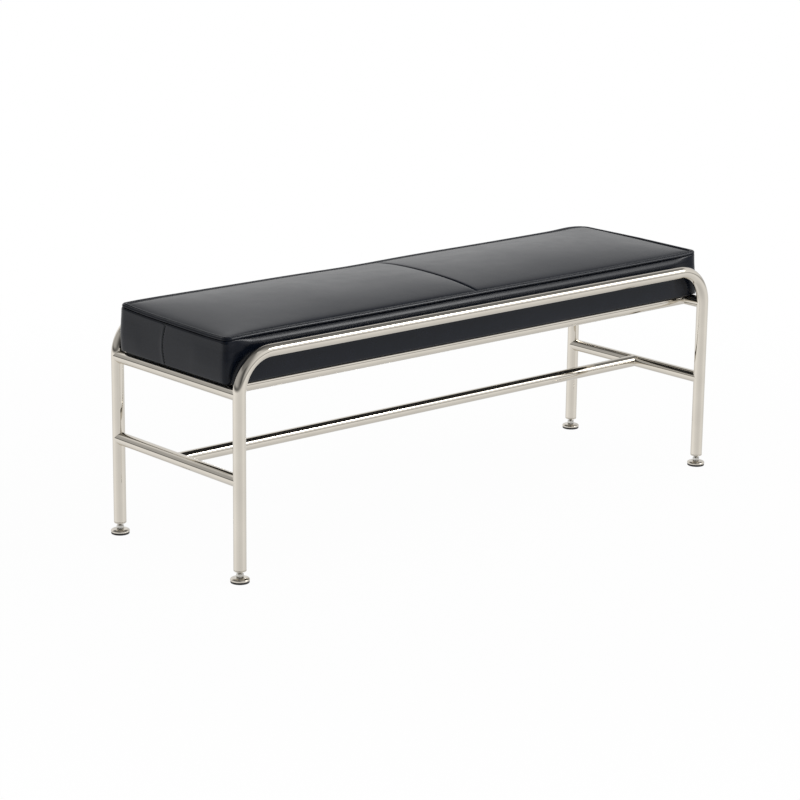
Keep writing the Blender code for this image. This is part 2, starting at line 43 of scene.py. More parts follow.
# Helpers for grids, meshes and pieces.
def gridFaces(rows, cols, wrapRows, wrapCols):
    # The four point numbers of each cell, row times columns plus column; a wrapped side joins last to first.
    row, col = np.meshgrid(np.arange(rows - (not wrapRows)), np.arange(cols - (not wrapCols)), indexing="ij")
    rowNext, colNext = (row + 1) % rows, (col + 1) % cols
    cells = [row * cols + col, rowNext * cols + col, rowNext * cols + colNext, row * cols + colNext]
    return np.stack(cells, axis=-1).reshape(-1, 4)


def meshFrom(name, grids, sharpAngle=35):
    # One mesh of several grids: coinciding points merged, closed-up faces dropped, the rest turned outwards.
    points, faces, start = [], [], 0
    for grid, wrapRows, wrapCols in grids:
        rows, cols = grid.shape[:2]
        points.append(grid.reshape(-1, 3))
        faces.append(gridFaces(rows, cols, wrapRows, wrapCols) + start)
        start += rows * cols
    mesh = bpy.data.meshes.new(name)
    mesh.from_pydata(joined(points).tolist(), [], joined(faces).tolist())
    work = bmesh.new()
    work.from_mesh(mesh)
    bmesh.ops.remove_doubles(work, verts=work.verts, dist=1e-6)
    bmesh.ops.dissolve_degenerate(work, edges=work.edges, dist=1e-7)
    bmesh.ops.recalc_face_normals(work, faces=work.faces)
    work.to_mesh(mesh)
    work.free()
    mesh.shade_smooth()
    mesh.set_sharp_from_angle(angle=np.radians(sharpAngle))
    return mesh


def copiesMesh(name, shape, spots, axes):
    # One grid repeated: each point is a spot plus the shape's three coordinates along that spot's axes.
    points = spots[:, None, None] + np.einsum("rpk,nkc->nrpc", shape, axes)
    return meshFrom(name, [(grid, False, True) for grid in points], 60)


def camel(nodeName):
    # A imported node's name as a piece's: later words start with a capital, and no underscores.
    first, *others = nodeName.split("_")
    return first + "".join(word.capitalize() for word in others)


def linked(name, data):
    # A new object in the scene.
    made = bpy.data.objects.new(name, data)
    scene.collection.objects.link(made)
    return made


def addPiece(mesh, look, body, slotName, *replaced):
    # A finished piece on its body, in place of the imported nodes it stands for.
    mesh.materials.append(materials[look])
    piece = linked(mesh.name, mesh)
    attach(piece, body)
    if replaced:
        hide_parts(*replaced)
    return piece


def places(x, y, z):
    # Points from their three coordinates, each widened to the same grid.
    return np.stack(np.broadcast_arrays(x, y, z), axis=-1)


def shareOfRun(start, stop, run):
    # The way from start to stop as a share of the run, kept between nought and one.
    return np.clip((stop - start) / run, 0, 1)


def smoothCurve(points, steps):
    # A curve through the points: between two, a cubic whose slopes are half the step between neighbours.
    points = np.asarray(points, float)
    padded = joined([2 * points[:1] - points[1:2], points, 2 * points[-1:] - points[-2:-1]])
    before, first, second, after = padded[:-3, None], padded[1:-2, None], padded[2:-1, None], padded[3:, None]
    t = np.linspace(0, 1, steps, endpoint=False)[None, :, None]
    curve = first + t * (second - before) / 2
    curve = curve + t**2 * (before - 2.5 * first + 2 * second - after / 2)
    curve = curve + t**3 * (1.5 * (first - second) + (after - before) / 2)
    return joined([curve.reshape(-1, points.shape[1]), points[-1:]])


def roundedCorners(points, radius, steps=5):
    # Each corner of a line is cut back by the radius, at most 0.45 of its sides, and swept by a quadratic.
    points = np.asarray(points, float)
    corner, back, ahead = points[1:-1], points[:-2] - points[1:-1], points[2:] - points[1:-1]
    backLength, aheadLength = np.linalg.norm(back, axis=1)[:, None], np.linalg.norm(ahead, axis=1)[:, None]
    cut = np.minimum(radius, 0.45 * np.minimum(backLength, aheadLength))
    entry, leave = corner + back / backLength * cut, corner + ahead / aheadLength * cut
    t = np.linspace(0, 1, steps)[None, :, None]
    swept = (1 - t) ** 2 * entry[:, None] + 2 * t * (1 - t) * corner[:, None] + t**2 * leave[:, None]
    return joined([points[:1], swept.reshape(-1, points.shape[1]), points[-1:]])


def turned(radius, height, centre, sides):
    # Radii by level and angle, carried round an upright axis through the centre at the levels' heights.
    angle = np.arange(sides) * 2 * np.pi / sides
    return places(centre[0] + radius * np.cos(angle), centre[1] + radius * np.sin(angle), height)


def turnedMesh(name, line, centre, sides, closed):
    # A profile of radius and height, turned round an upright axis through the centre.
    line = np.asarray(line, float)
    return meshFrom(name, [(turned(line[:, :1], line[:, 1:], centre, sides), closed, True)])


def hexagon(half, sides):
    # A hexagon's reach by angle: half its flats over the cosine from the nearest flat.
    angle = np.arange(sides) * 2 * np.pi / sides
    return half / np.cos((angle + np.pi / 6) % (np.pi / 3) - np.pi / 6)


# Materials.
def feed(tree, node, values):
    # Values go into a node's sockets, linked where the value is another socket.
    for key, value in values.items():
        if isinstance(value, bpy.types.NodeSocket):
            tree.links.new(value, node.inputs[key])
        else:
            node.inputs[key].default_value = value


def addNode(tree, kind, values=None, **settings):
    # A shader node's outputs: settings are its options, values its sockets.
    made = tree.nodes.new(kind)
    for key, value in settings.items():
        setattr(made, key, value)
    feed(tree, made, values or {})
    return made.outputs


def combine(tree, operation, *values):
    # One number from others, by the named operation.
    return addNode(tree, "ShaderNodeMath", dict(enumerate(values)), operation=operation)[0]


def blend(tree, share, first, second):
    # The first level where the share is nought, the second where it is one.
    return addNode(tree, "ShaderNodeMix", {0: share, 2: first, 3: second})[0]


def ranged(tree, value, start, stop, low=0.0, high=1.0, kind="LINEAR"):
    # A value's place between start and stop, as a level from low to high.
    ends = {"Value": value, "From Min": start, "From Max": stop, "To Min": low, "To Max": high}
    return addNode(tree, "ShaderNodeMapRange", ends, interpolation_type=kind)["Result"]


def noise(tree, place, scale, detail):
    # A soft noise over places, as a level and as a colour.
    return addNode(tree, "ShaderNodeTexNoise", {"Vector": place, "Scale": scale, "Detail": detail})


def surface(name, look):
    # Colour and roughness wander between two values with a slow noise; a fine grain and a slow swell lift it.
    material = bpy.data.materials.new(name)
    material.use_nodes = True
    tree = material.node_tree
    shader = tree.nodes["Principled BSDF"]
    place = addNode(tree, "ShaderNodeTexCoord")["Object"]
    stretch = {0: place, 1: look.get("stretch", (1, 1, 1))}
    stretched = addNode(tree, "ShaderNodeVectorMath", stretch, operation="MULTIPLY")[0]
    patch, spread = noise(tree, stretched, look["patch"], 4.0)["Fac"], (0.3, 0.7)
    pattern = look.get("pattern")
    ramp = addNode(tree, "ShaderNodeValToRGB", {"Fac": patch})
    for element, tone, position in zip(ramp["Color"].node.color_ramp.elements, look["tones"], spread):
        element.color, element.position = (*tone, 1), position
    if pattern == "pebble":
        wander = noise(tree, place, look["grain"] * 0.6, 1.0)["Color"]
        shift = {0: wander, 1: (0.6 / look["grain"],) * 3, 2: place}
        shifted = addNode(tree, "ShaderNodeVectorMath", shift, operation="MULTIPLY_ADD")[0]
        cells = {"Vector": shifted, "Scale": look["grain"]}
        cells = addNode(tree, "ShaderNodeTexVoronoi", cells, feature="DISTANCE_TO_EDGE")["Distance"]
        grain = ranged(tree, cells, 0.0, 0.25)
    elif pattern == "layers":
        layers = {"Vector": stretched, "Scale": look["grain"], "Distortion": 2.5, "Detail": 2.0}
        grain = addNode(tree, "ShaderNodeTexWave", layers, bands_direction="Z")["Fac"]
    else:
        grain = noise(tree, stretched, look["grain"], 3.0)["Fac"]
    swell = noise(tree, place, look["swell"], 1.0)["Fac"]
    wave = {"Height": swell, "Strength": 1.0, "Distance": look["swellHeight"]}
    broad = addNode(tree, "ShaderNodeBump", wave)
    lift = {"Height": grain, "Strength": look["strength"], "Distance": look.get("height", 0.0001)}
    bump = addNode(tree, "ShaderNodeBump", {**lift, "Normal": broad["Normal"]})
    feed(tree, shader, {
        "Base Color": ramp["Color"], "Normal": bump["Normal"], "Metallic": look.get("metallic", 0.0),
        "Roughness": ranged(tree, patch, *spread, *look["rough"]),
        "Specular IOR Level": look.get("specular", 0.5),
    })
    return material


looks = dict(
    nickel=dict(
        tones=((0.705, 0.66, 0.585), (0.755, 0.708, 0.628)), patch=14, rough=(0.03, 0.06), metallic=1.0,
        grain=900, strength=0.05, swell=30, swellHeight=0.00005,
    ),
    zinc=dict(
        tones=((0.58, 0.57, 0.54), (0.68, 0.66, 0.62)), patch=260, rough=(0.2, 0.32), metallic=1.0,
        grain=2500, strength=0.1, swell=200, swellHeight=0.00002,
    ),
    steel=dict(
        tones=((0.5, 0.49, 0.47), (0.6, 0.59, 0.56)), patch=200, rough=(0.26, 0.4), metallic=1.0, grain=2200,
        strength=0.12, swell=160, swellHeight=0.00002,
    ),
    plastic=dict(
        tones=((0.012, 0.012, 0.013), (0.02, 0.02, 0.021)), patch=180, rough=(0.42, 0.55), grain=3000,
        strength=0.15, swell=90, swellHeight=0.00003,
    ),
    leather=dict(
        tones=((0.0032, 0.0054, 0.0115), (0.0048, 0.0076, 0.015)), patch=30, rough=(0.21, 0.25),
        pattern="pebble", grain=850, strength=0.04, swell=26, swellHeight=0.0002, specular=0.23,
    ),
    thread=dict(
        tones=((0.01, 0.01, 0.011), (0.018, 0.018, 0.019)), patch=300, rough=(0.5, 0.62), grain=4000,
        strength=0.3, swell=300, swellHeight=0.00003,
    ),
    foam=dict(
        tones=((0.66, 0.58, 0.38), (0.74, 0.66, 0.46)), patch=30, rough=(0.85, 0.95), pattern="pebble",
        grain=700, strength=0.5, height=0.0004, swell=40, swellHeight=0.0005,
    ),
    wood=dict(
        tones=((0.44, 0.31, 0.18), (0.56, 0.42, 0.26)), patch=40, rough=(0.55, 0.7), stretch=(0.12, 1, 1),
        pattern="layers", grain=60, strength=0.2, height=0.0003, swell=20, swellHeight=0.0002,
    ),
    cloth=dict(
        tones=((0.018, 0.018, 0.019), (0.03, 0.03, 0.031)), patch=120, rough=(0.85, 0.95), pattern="pebble",
        grain=600, strength=0.35, height=0.0003, swell=60, swellHeight=0.0006,
    ),
)
materials = {name: surface(name, look) for name, look in looks.items()}
print("materials:", ", ".join(materials))


# The tubes: two bent hoops, and rails and stretchers with saddle ends and a small weld fillet.
tube = dict(
    radius=0.0127, wall=0.0015, sides=64, legX=0.6373, legY=0.1973, legEnd=0.0256, bendStart=0.369,
    bendRadius=0.076, edge=0.0004, legRows=10, bendRows=33, railRows=14, railHeight=0.369,
    stretcherHeight=0.2, seatRailY=0.1423, plainFrom=0.03, plainRows=9, fillet=0.0024, filletSteps=9,
    filletRise=0.0005, weldLip=0.0006, weldTuck=0.0008, sink=0.0004, screwX=(-0.455, 0.0, 0.455),
    accessRadius=0.00625, accessDepth=0.02, accessSides=40,
)


def hoopMesh(name, y):
    # The axis climbs a leg, turns a quarter round each bend and runs along the top; rings stand square to it.
    legX, bend, start = tube["legX"], tube["bendRadius"], tube["bendStart"]
    leg = np.linspace(tube["legEnd"] + tube["edge"], start, tube["legRows"])[:-1]
    turn = np.linspace(0, np.pi / 2, tube["bendRows"])
    rail = np.linspace(bend - legX, 0, tube["railRows"])[1:]
    x = joined([np.full(leg.shape, -legX), bend - legX - bend * np.cos(turn), rail])
    z = joined([leg, start + bend * np.sin(turn), np.full(rail.shape, start + bend)])
    slope = joined([np.zeros(leg.shape), turn, np.full(rail.shape, np.pi / 2)])
    x, z = joined([x, -x[-2::-1]])[:, None], joined([z, z[-2::-1]])[:, None]
    slope = joined([slope, np.pi - slope[-2::-1]])[:, None]
    angle = np.arange(tube["sides"]) * 2 * np.pi / tube["sides"]

    def rings(radius):
        across, side = radius * np.cos(angle), radius * np.sin(angle)
        return places(x - np.cos(slope) * across, y + side, z + np.sin(slope) * across)

    outer, middle = rings(tube["radius"]), rings(tube["radius"] - tube["edge"])
    inner = rings(tube["radius"] - tube["wall"])
    low = np.array([0, 0, tube["edge"]])
    rows = [middle[:1] - low, outer, middle[-1:] - low, inner[-1:] - low, inner[::-1], inner[:1] - low]
    return meshFrom(name, [(joined(rows), True, True)])


def branchMesh(name, start, end, mainAxis, bendShift=0.0):
    # A tube between two others. At each end the wall follows the crossed tube, whose height at a sideways
    # place v is the root of radius squared less v squared, and a quadratic widens the end into the weld.
    start, end, up = (np.asarray(value, float) for value in (start, end, mainAxis))
    radius, bend = tube["radius"], tube["bendRadius"]
    length = np.linalg.norm(end - start)
    along = (end - start) / length
    side = np.cross(along, up)
    angle = np.arange(tube["sides"]) * 2 * np.pi / tube["sides"]
    cosine, sine = np.cos(angle), np.sin(angle)

    def height(reach):
        climb = np.clip(reach * cosine, 0, bend)
        shift = bendShift * (bend - np.sqrt(bend**2 - climb**2))
        return np.sqrt(np.clip(radius**2 - (reach * sine - shift) ** 2, 0, None)) - tube["sink"]

    widen = tube["fillet"] * np.abs(cosine) ** 1.5
    wide, bore = radius + widen, radius - tube["wall"]
    lip, toe = wide - tube["weldLip"], height(radius) + widen + tube["filletRise"]
    t = np.linspace(0, 1, tube["filletSteps"])[:, None]
    reach = (1 - t) ** 2 * radius + 2 * t * (1 - t) * radius + t**2 * wide
    rise = (1 - t) ** 2 * toe + 2 * t * (1 - t) * height(radius) + t**2 * height(wide)
    reach = joined([reach, [lip, np.full(angle.shape, bore)]])
    rise = joined([rise, [height(lip) - tube["weldTuck"], height(bore)]])
    plain = np.linspace(tube["plainFrom"], length - tube["plainFrom"], tube["plainRows"])[:, None] + 0 * angle
    reach = joined([reach[::-1], np.full(plain.shape, radius), reach])
    rise = joined([rise[::-1], plain, length - rise])
    points = start + rise[..., None] * along
    points = points + (reach * cosine)[..., None] * up + (reach * sine)[..., None] * side
    return meshFrom(name, [(points, True, True)])


def boredMesh(rail, spots):
    # The rail less an upright round bit at each spot, from below up to the rail's axis.
    radius, top, low = tube["accessRadius"], tube["railHeight"], tube["railHeight"] - tube["accessDepth"]
    line = np.array([(0, low), (radius, low), (radius, top), (0, top)])
    holes = [(turned(line[:, :1], line[:, 1:], spot, tube["accessSides"]), False, True) for spot in spots]
    bits, blank = linked("bits", meshFrom("bits", holes)), linked("blank", rail)
    bore = blank.modifiers.new("bore", "BOOLEAN")
    bore.operation, bore.object, bore.solver = "DIFFERENCE", bits, "EXACT"
    bored = bpy.data.meshes.new_from_object(blank.evaluated_get(bpy.context.evaluated_depsgraph_get()))
    name, bitMesh = rail.name, bits.data
    bpy.data.objects.remove(blank)
    bpy.data.objects.remove(bits)
    bpy.data.meshes.remove(bitMesh)
    bpy.data.meshes.remove(rail)
    bored.name = name
    return bored


def addTubes():
    # Each tube by its axis: both hoops, rails and stretchers across the ends, three long tubes between.
    legX, legY, railZ, lowZ = tube["legX"], tube["legY"], tube["railHeight"], tube["stretcherHeight"]
    upright, level, seatY = (0, 0, 1), (0, 1, 0), tube["seatRailY"]
    made = {"front_hoop": hoopMesh("frontHoop", -legY), "rear_hoop": hoopMesh("rearHoop", legY)}
    for word, sign in (("left", -1), ("right", 1)):
        for part, z, shift in (("_end_rail", railZ, -sign), ("_end_stretcher", lowZ, 0.0)):
            ends = (sign * legX, -legY, z), (sign * legX, legY, z)
            made[word + part] = branchMesh(camel(word + part), *ends, upright, shift)
    made["centre_stretcher"] = branchMesh("centreStretcher", (-legX, 0, lowZ), (legX, 0, lowZ), level)
    for word, y in (("front", -seatY), ("rear", seatY)):
        rail = branchMesh(word + "SeatRail", (-legX, y, railZ), (legX, y, railZ), level)
        made[word + "_seat_rail"] = boredMesh(rail, [(x, y) for x in tube["screwX"]])
    for nodeName, mesh in made.items():
        addPiece(mesh, "nickel", "frame", "nickel", nodeName)
    print("tubes:", len(made))


addTubes()


# The feet: a plug in the leg, a stud with its hexagon and thread, a domed cap and a pad.
foot = dict(
    sides=72, padRound=0.0009,
    padLine=(
        (0, 0.0006), (0.0055, 0.0006), (0.0062, 0), (0.01, 0), (0.0106, 0.0005), (0.0122, 0.0005),
        (0.0128, 0), (0.0185, 0), (0.0185, 0.004), (0.0175, 0.004), (0.0175, 0.0063), (0, 0.0063),
    ),
    capRadius=0.019, capTop=0.0105, capFlat=0.00825, capSide=0.0065, capHole=0.0053, capWall=0.0012,
    capBreak=0.0003, capLip=((-0.0012, 0.0043), (-0.0005, 0.0043), (-0.00015, 0.00445), (0, 0.0048)),
    studLine=(
        (0, 0.0066), (0.0064, 0.0066), (0.0068, 0.007), (0.0068, 0.0086), (0.0064, 0.009), (0.005, 0.009),
    ),
    hexFlats=0.013, hexBase=0.0108, hexTop=0.0178, hexBreak=0.0001, chamfer=1.75,
    hexSteps=(0, 0.0001, 0.0002, 0.0003, 0.0004, 0.0005, 0.0006, 0.0008), thread=0.004, pitch=0.00125,
    threadDepth=0.0006, tip=0.0463, tipChamfer=0.0008, plugBase=0.0223, plugEdge=0.0022, plugGap=0.0001,
    plugBreak=0.0003, plugChamfer=0.0006, spigot=0.011, spigotTop=0.0456, bore=0.00425,
)


def padMesh(name, spot):
    # A flat disc with two shallow rings under it, rounded rim and a boss that stands in the cap.
    return turnedMesh(name, roundedCorners(foot["padLine"], foot["padRound"]), spot, foot["sides"], False)


def capMesh(name, spot):
    # The dome is a quarter ellipse from rim to flat top; the inside runs a wall's thickness within it.
    rim, flat, side, top = foot["capRadius"], foot["capFlat"], foot["capSide"], foot["capTop"]
    wall, hole, edge = foot["capWall"], foot["capHole"], foot["capBreak"]
    t = np.linspace(0, np.pi / 2, 14)
    dome = np.stack([flat + (rim - flat) * np.cos(t), side + (top - side) * np.sin(t)], axis=1)
    inside = [flat + (rim - wall - flat) * np.cos(t), side + (top - wall - side) * np.sin(t)]
    line = joined([
        np.array(foot["capLip"]) + np.array([rim, 0]), dome,
        [(hole + edge, top), (hole, top - edge), (hole, top - wall)], np.stack(inside, axis=1)[::-1],
    ])
    return turnedMesh(name, line, spot, foot["sides"], True)


def studMesh(name, spot):
    # Radius over angle and height: a swaged foot and neck, a hexagon cut by a chamfer cone at both ends, and
    # a thread whose depth is a triangle wave of height less turn.
    around = np.arange(foot["sides"]) / foot["sides"]
    base, top, half = foot["hexBase"], foot["hexTop"], foot["hexFlats"] / 2
    low, step = np.array(foot["studLine"]), np.array(foot["hexSteps"])
    hexZ = joined([base + step, [(base + top) / 2], top - step[::-1]])
    cone = half - foot["hexBreak"] + np.minimum(hexZ - base, top - hexZ)[:, None] * foot["chamfer"]
    threadZ = np.arange(top, foot["tip"] - foot["tipChamfer"], foot["pitch"] / 8)
    wave = np.abs(2 * ((threadZ[:, None] / foot["pitch"] - around) % 1) - 1)
    tip = np.array([(foot["thread"] - foot["tipChamfer"], foot["tip"]), (0, foot["tip"])])
    radius = joined([
        low[:, :1] + 0 * around, [low[-1, 0] + 0 * around], np.minimum(hexagon(half, foot["sides"]), cone),
        [foot["thread"] - foot["threadDepth"] + 0 * around],
        foot["thread"] - foot["threadDepth"] * np.clip(1.2 * wave - 0.1, 0, 1), tip[:, :1] + 0 * around,
    ])
    height = joined([low[:, 1], [base], hexZ, [top], threadZ, tip[:, 1]])[:, None]
    return meshFrom(name, [(turned(radius, height, spot, foot["sides"]), False, True)], 30)


def plugMesh(name, spot):
    # A rounded flange as wide as the leg, a spigot up the leg and the threaded bore through both.
    radius, end = tube["radius"], tube["legEnd"] - foot["plugGap"]
    base, edge, corner = foot["plugBase"], foot["plugEdge"], foot["plugBreak"]
    bore, spigot, top, cut = foot["bore"], foot["spigot"], foot["spigotTop"], foot["plugChamfer"]
    t = np.linspace(0, np.pi / 2, 9)
    line = joined([
        [(bore, base + cut), (bore + cut, base)],
        np.stack([radius - edge + edge * np.sin(t), base + edge - edge * np.cos(t)], axis=1),
        [(radius, end - corner), (radius - corner, end), (spigot, end)],
        [(spigot, top - cut), (spigot - cut, top), (bore, top)],
    ])
    return turnedMesh(name, line, spot, foot["sides"], True)


def addFeet():
    # Four pieces under each leg: the plug is the frame's, the stud turns, cap and pad travel with the foot.
    for corner in ("front_left", "front_right", "rear_left", "rear_right"):
        side, back = 1 if "right" in corner else -1, 1 if "rear" in corner else -1
        spot = (tube["legX"] * side, tube["legY"] * back)
        for part, maker, look, body, slotName in (
            ("_leg_plug", plugMesh, "nickel", "frame", "nickel"),
            ("_foot_stud", studMesh, "zinc", corner + "_stud", "steel"),
            ("_foot_cap", capMesh, "nickel", corner + "_foot", "nickel"),
            ("_foot_pad", padMesh, "plastic", corner + "_foot", "plastic"),
        ):
            addPiece(maker(camel(corner + part), spot), look, body, slotName, corner + part)
    print("feet: 4")


addFeet()


# The cushion's outline: a rounded rectangle whose long sides draw in between the corners and the centre seam.
seat = dict(
    end=0.644, half=0.1715, corner=0.014, draw=0.002, base=0.382, rimTop=0.4798, seamY=0.0205,
    stitchInset=0.01, stitchDrop=0.0027, sideFullness=2.6, endFullness=4.5, lean=0.0035, endRise=0.0015,
    leftDip=0.006, rightRise=0.0014, leftDroop=0.0022, rightDroop=0.0064, cornerPuff=0.0022,
    cornerPuffAt=(0.585, 0.035), sideSag=0.0012, seamSag=0.0026, seamSagAt=(-0.06, 0.13), puff=0.0027,
    puffReach=0.0068, seamDip=0.004, seamReach=0.002, leather=0.0016, shift=-0.004, evenFrom=0.0135,
    evenTo=0.013, seamSteps=(0.00015, 0.0005, 0.001, 0.0016, 0.0024, 0.0034, 0.0048, 0.0068, 0.0095),
)


def settle(mesh):
    # The left half is cut a little longer: each place moves left by the shift times its share of the end.
    spots = np.empty(len(mesh.vertices) * 3)
    mesh.vertices.foreach_get("co", spots)
    spots[0::3] += seat["shift"] * np.abs(spots[0::3]) / seat["end"]
    mesh.vertices.foreach_set("co", spots)
    mesh.update()
    return mesh


def halfWidth(x, inset):
    # Half the width at x: on a corner the root of radius squared less overrun squared, else less a sine.
    reach, straight = np.abs(x), seat["end"] - seat["corner"]
    over = np.clip(reach - straight, 0, None)
    rounding = np.sqrt(np.clip((seat["corner"] - inset) ** 2 - over**2, 0, None))
    cornerWidth = seat["half"] - seat["corner"] + rounding
    sideWidth = seat["half"] - inset - seat["draw"] * np.sin(np.pi * reach / straight) ** 2
    return np.where(reach > straight, cornerWidth, sideWidth)


def outwards(points):
    # The outline's outward direction: away from the corner's centre, or square to the nearest side.
    x, y = points[..., 0], points[..., 1]
    overX, overY = np.abs(x) - (seat["end"] - seat["corner"]), np.abs(y) - (seat["half"] - seat["corner"])
    awayX, awayY = np.where(overX > 0, overX, 0) * np.sign(x), np.where(overX > 0, overY, 1) * np.sign(y)
    away = np.stack([awayX, awayY], axis=-1)
    onEnd = (overX > 0) & (overY <= 1e-9)
    away[onEnd] = np.stack([np.sign(x[onEnd]), 0 * y[onEnd]], axis=-1)
    return away / np.linalg.norm(away, axis=-1, keepdims=True)


def edgeDistance(x, y, inset):
    # How far a place lies inside the outline: from the corner's arc near a corner, else from the nearer side.
    overX, overY = np.abs(x) - (seat["end"] - seat["corner"]), np.abs(y) - (seat["half"] - seat["corner"])
    arc = seat["corner"] - inset - np.hypot(np.clip(overX, 0, None), np.clip(overY, 0, None))
    sides = np.minimum(seat["end"] - inset - np.abs(x), halfWidth(x, inset) - np.abs(y))
    return np.clip(np.where((overX > 0) & (overY > 0), arc, sides), 0, None)


def hump(x, centre, reach):
    # A bell round the centre: e to the minus square of the distance over the reach.
    return np.exp(-(((x - centre) / reach) ** 2))


def rimShift(x, y):
    # How far the rim stands off its level: it leans back, rises to both ends, sags along the front of each
    # panel and at the seam's rear end, droops at the rear corners with a puff before the right one, dips
    # along the left end and rises to the right one.
    reach, across = np.abs(x) / seat["end"], np.clip(y / seat["half"], -1, 1)
    back, ahead = np.clip(across, 0, 1), np.clip(-across, 0, 1)
    sag = seat["sideSag"] * np.sin(np.pi * np.clip(reach, 0, 1)) ** 2 * (1 - across) / 2
    sag = sag + seat["seamSag"] * hump(x, *seat["seamSagAt"]) * back
    leftDroop = seat["leftDroop"] * reach**30 * back**4
    droop = np.where(x < 0, leftDroop, seat["rightDroop"] * reach**50 * back**1.2)
    dip = np.where(x < 0, seat["leftDip"] * reach**10 * (1 - back**4) * (1 - 0.6 * ahead**6), 0)
    rise = seat["endRise"] * reach**4 + np.where(x > 0, seat["rightRise"] * reach**30, 0)
    lean = seat["lean"] * across * np.where(x > 0, 1 - 0.8 * reach**36, 1)
    puff = seat["cornerPuff"] * hump(x, *seat["cornerPuffAt"]) * back**4
    return lean + rise + puff - sag - droop - dip


def outlineLoop(spacing):
    # The outline by length: from the left end's seam round the front to the right end's, then round the back.
    end, half, corner, straight = seat["end"], seat["half"], seat["corner"], seat["end"] - seat["corner"]
    turn = np.linspace(0, np.pi / 2, 60)
    x = np.linspace(-straight, straight, 600)
    paths = []
    for side, count in ((-1, 60), (1, 30)):
        y = np.linspace(seat["seamY"], side * (half - corner), count)
        runs = (
            (side * end + 0 * y, y),
            (side * (straight + corner * np.cos(turn)), side * (half - corner + corner * np.sin(turn))),
            (-side * x, side * halfWidth(x, 0)),
            (-side * (straight + corner * np.sin(turn)), side * (half - corner + corner * np.cos(turn))),
            (-side * end + 0 * y, y[::-1]),
        )
        paths.append(evenPath(joined([np.stack(run, axis=1) for run in runs]), spacing))
    return paths


def evenPath(path, spacing):
    # A path by length: distances along it, closer near both ends, with places and outward directions.
    step = np.linalg.norm(np.diff(path, axis=0), axis=1)
    path = path[joined([[True], step > 1e-9])]
    length = joined([[0], np.cumsum(np.linalg.norm(np.diff(path, axis=0), axis=1))])
    near, total = np.array(seat["seamSteps"]), length[-1]
    at = joined([near, np.arange(seat["evenFrom"], total - seat["evenTo"], spacing), total - near[::-1]])
    place = np.stack([np.interp(at, length, path[:, axis]) for axis in (0, 1)], axis=1)
    return at, total, place, outwards(place)


# The swelling: a coarse cover, held along its seams, is blown up as cloth and read back as lifts.
swelling = dict(
    cols=129, rows=41, levels=12, spacing=0.01, frames=20, topLift=0.0055, sideLift=0.002, startCrown=0.01,
    startBulge=0.0005, sideHeight=0.09,
    cloth=dict(
        vertex_group_mass="held", quality=6, mass=0.4, tension_stiffness=12, compression_stiffness=12,
        shear_stiffness=6, bending_stiffness=0.6, use_pressure=True, uniform_pressure_force=4.0,
    ),
)


def crownShare(x, share):
    # The crown's share: one less the side share to its power, times one less the end share to its power.
    reach = seat["end"] - seat["stitchInset"]
    along = np.clip(np.abs(x) / reach, 0, 1)
    return (1 - np.abs(share) ** seat["sideFullness"]) * (1 - along ** seat["endFullness"])


def swellCover():
    # Lifts of the top by length and width, and of the sides by loop and level, as shares of the largest.
    reach = seat["end"] - seat["stitchInset"]
    x = np.linspace(-reach, reach, swelling["cols"])[:, None]
    share = np.linspace(-1, 1, swelling["rows"])
    crown = seat["rimTop"] + swelling["startCrown"] * crownShare(x, share)
    top = places(x, halfWidth(x, seat["stitchInset"]) * share, crown)
    (_, _, frontPlace, frontOut), (_, _, rearPlace, rearOut) = outlineLoop(swelling["spacing"])
    place, out = joined([frontPlace, rearPlace]), joined([frontOut, rearOut])
    level = np.linspace(0, 1, swelling["levels"])
    bulge = place[:, None] + out[:, None] * swelling["startBulge"] * np.sin(np.pi * level)[:, None]
    side = places(bulge[..., 0], bulge[..., 1], seat["base"] + swelling["sideHeight"] * (1 - level))
    points, topCount = joined([top.reshape(-1, 3), side.reshape(-1, 3)]), top.shape[0] * top.shape[1]
    faces = [gridFaces(*top.shape[:2], False, False), gridFaces(*side.shape[:2], True, False) + topCount]
    mesh = bpy.data.meshes.new("coverBlank")
    mesh.from_pydata(points.tolist(), [], joined(faces).tolist())
    work = bmesh.new()
    work.from_mesh(mesh)
    bmesh.ops.recalc_face_normals(work, faces=work.faces)
    work.to_mesh(mesh)
    work.free()
    if mesh.vertices[topCount // 2].normal.z < 0:
        mesh.flip_normals()
    blank = linked("coverBlank", mesh)
    heldTop, heldSide = np.zeros(top.shape[:2], bool), np.zeros(side.shape[:2], bool)
    heldTop[[0, -1, top.shape[0] // 2]] = True
    heldTop[:, [0, -1]] = True
    heldSide[:, [0, -1]] = True
    heldSide[[0, len(frontPlace) - 1, len(frontPlace), -1]] = True
    held = np.flatnonzero(joined([heldTop.ravel(), heldSide.ravel()]))
    blank.vertex_groups.new(name="held").add(held.tolist(), 1.0, "REPLACE")
    cloth = blank.modifiers.new("swell", "CLOTH")
    for key, value in swelling["cloth"].items():
        setattr(cloth.settings, key, value)
    cloth.settings.effector_weights.gravity = 0
    cloth.point_cache.frame_start, cloth.point_cache.frame_end = 1, swelling["frames"]
    for number in range(1, swelling["frames"] + 1):
        scene.frame_set(number)
    swollen = np.zeros(len(points) * 3)
    shape = blank.evaluated_get(bpy.context.evaluated_depsgraph_get())
    shape.data.vertices.foreach_get("co", swollen)
    scene.frame_set(1)
    bpy.data.objects.remove(blank)
    bpy.data.meshes.remove(mesh)
    moved = swollen.reshape(-1, 3) - points
    topMoved = moved[:topCount].reshape(top.shape)[..., 2]
    sideMoved = (moved[topCount:].reshape(side.shape)[..., :2] * out[:, None, :]).sum(axis=-1)
    print("swelling: top up by", topMoved.max().round(5), "sides out by", sideMoved.max().round(5))
    return topMoved / np.abs(topMoved).max(), sideMoved / np.abs(sideMoved).max(), len(frontPlace)


topShape, sideShape, frontCount = swellCover()


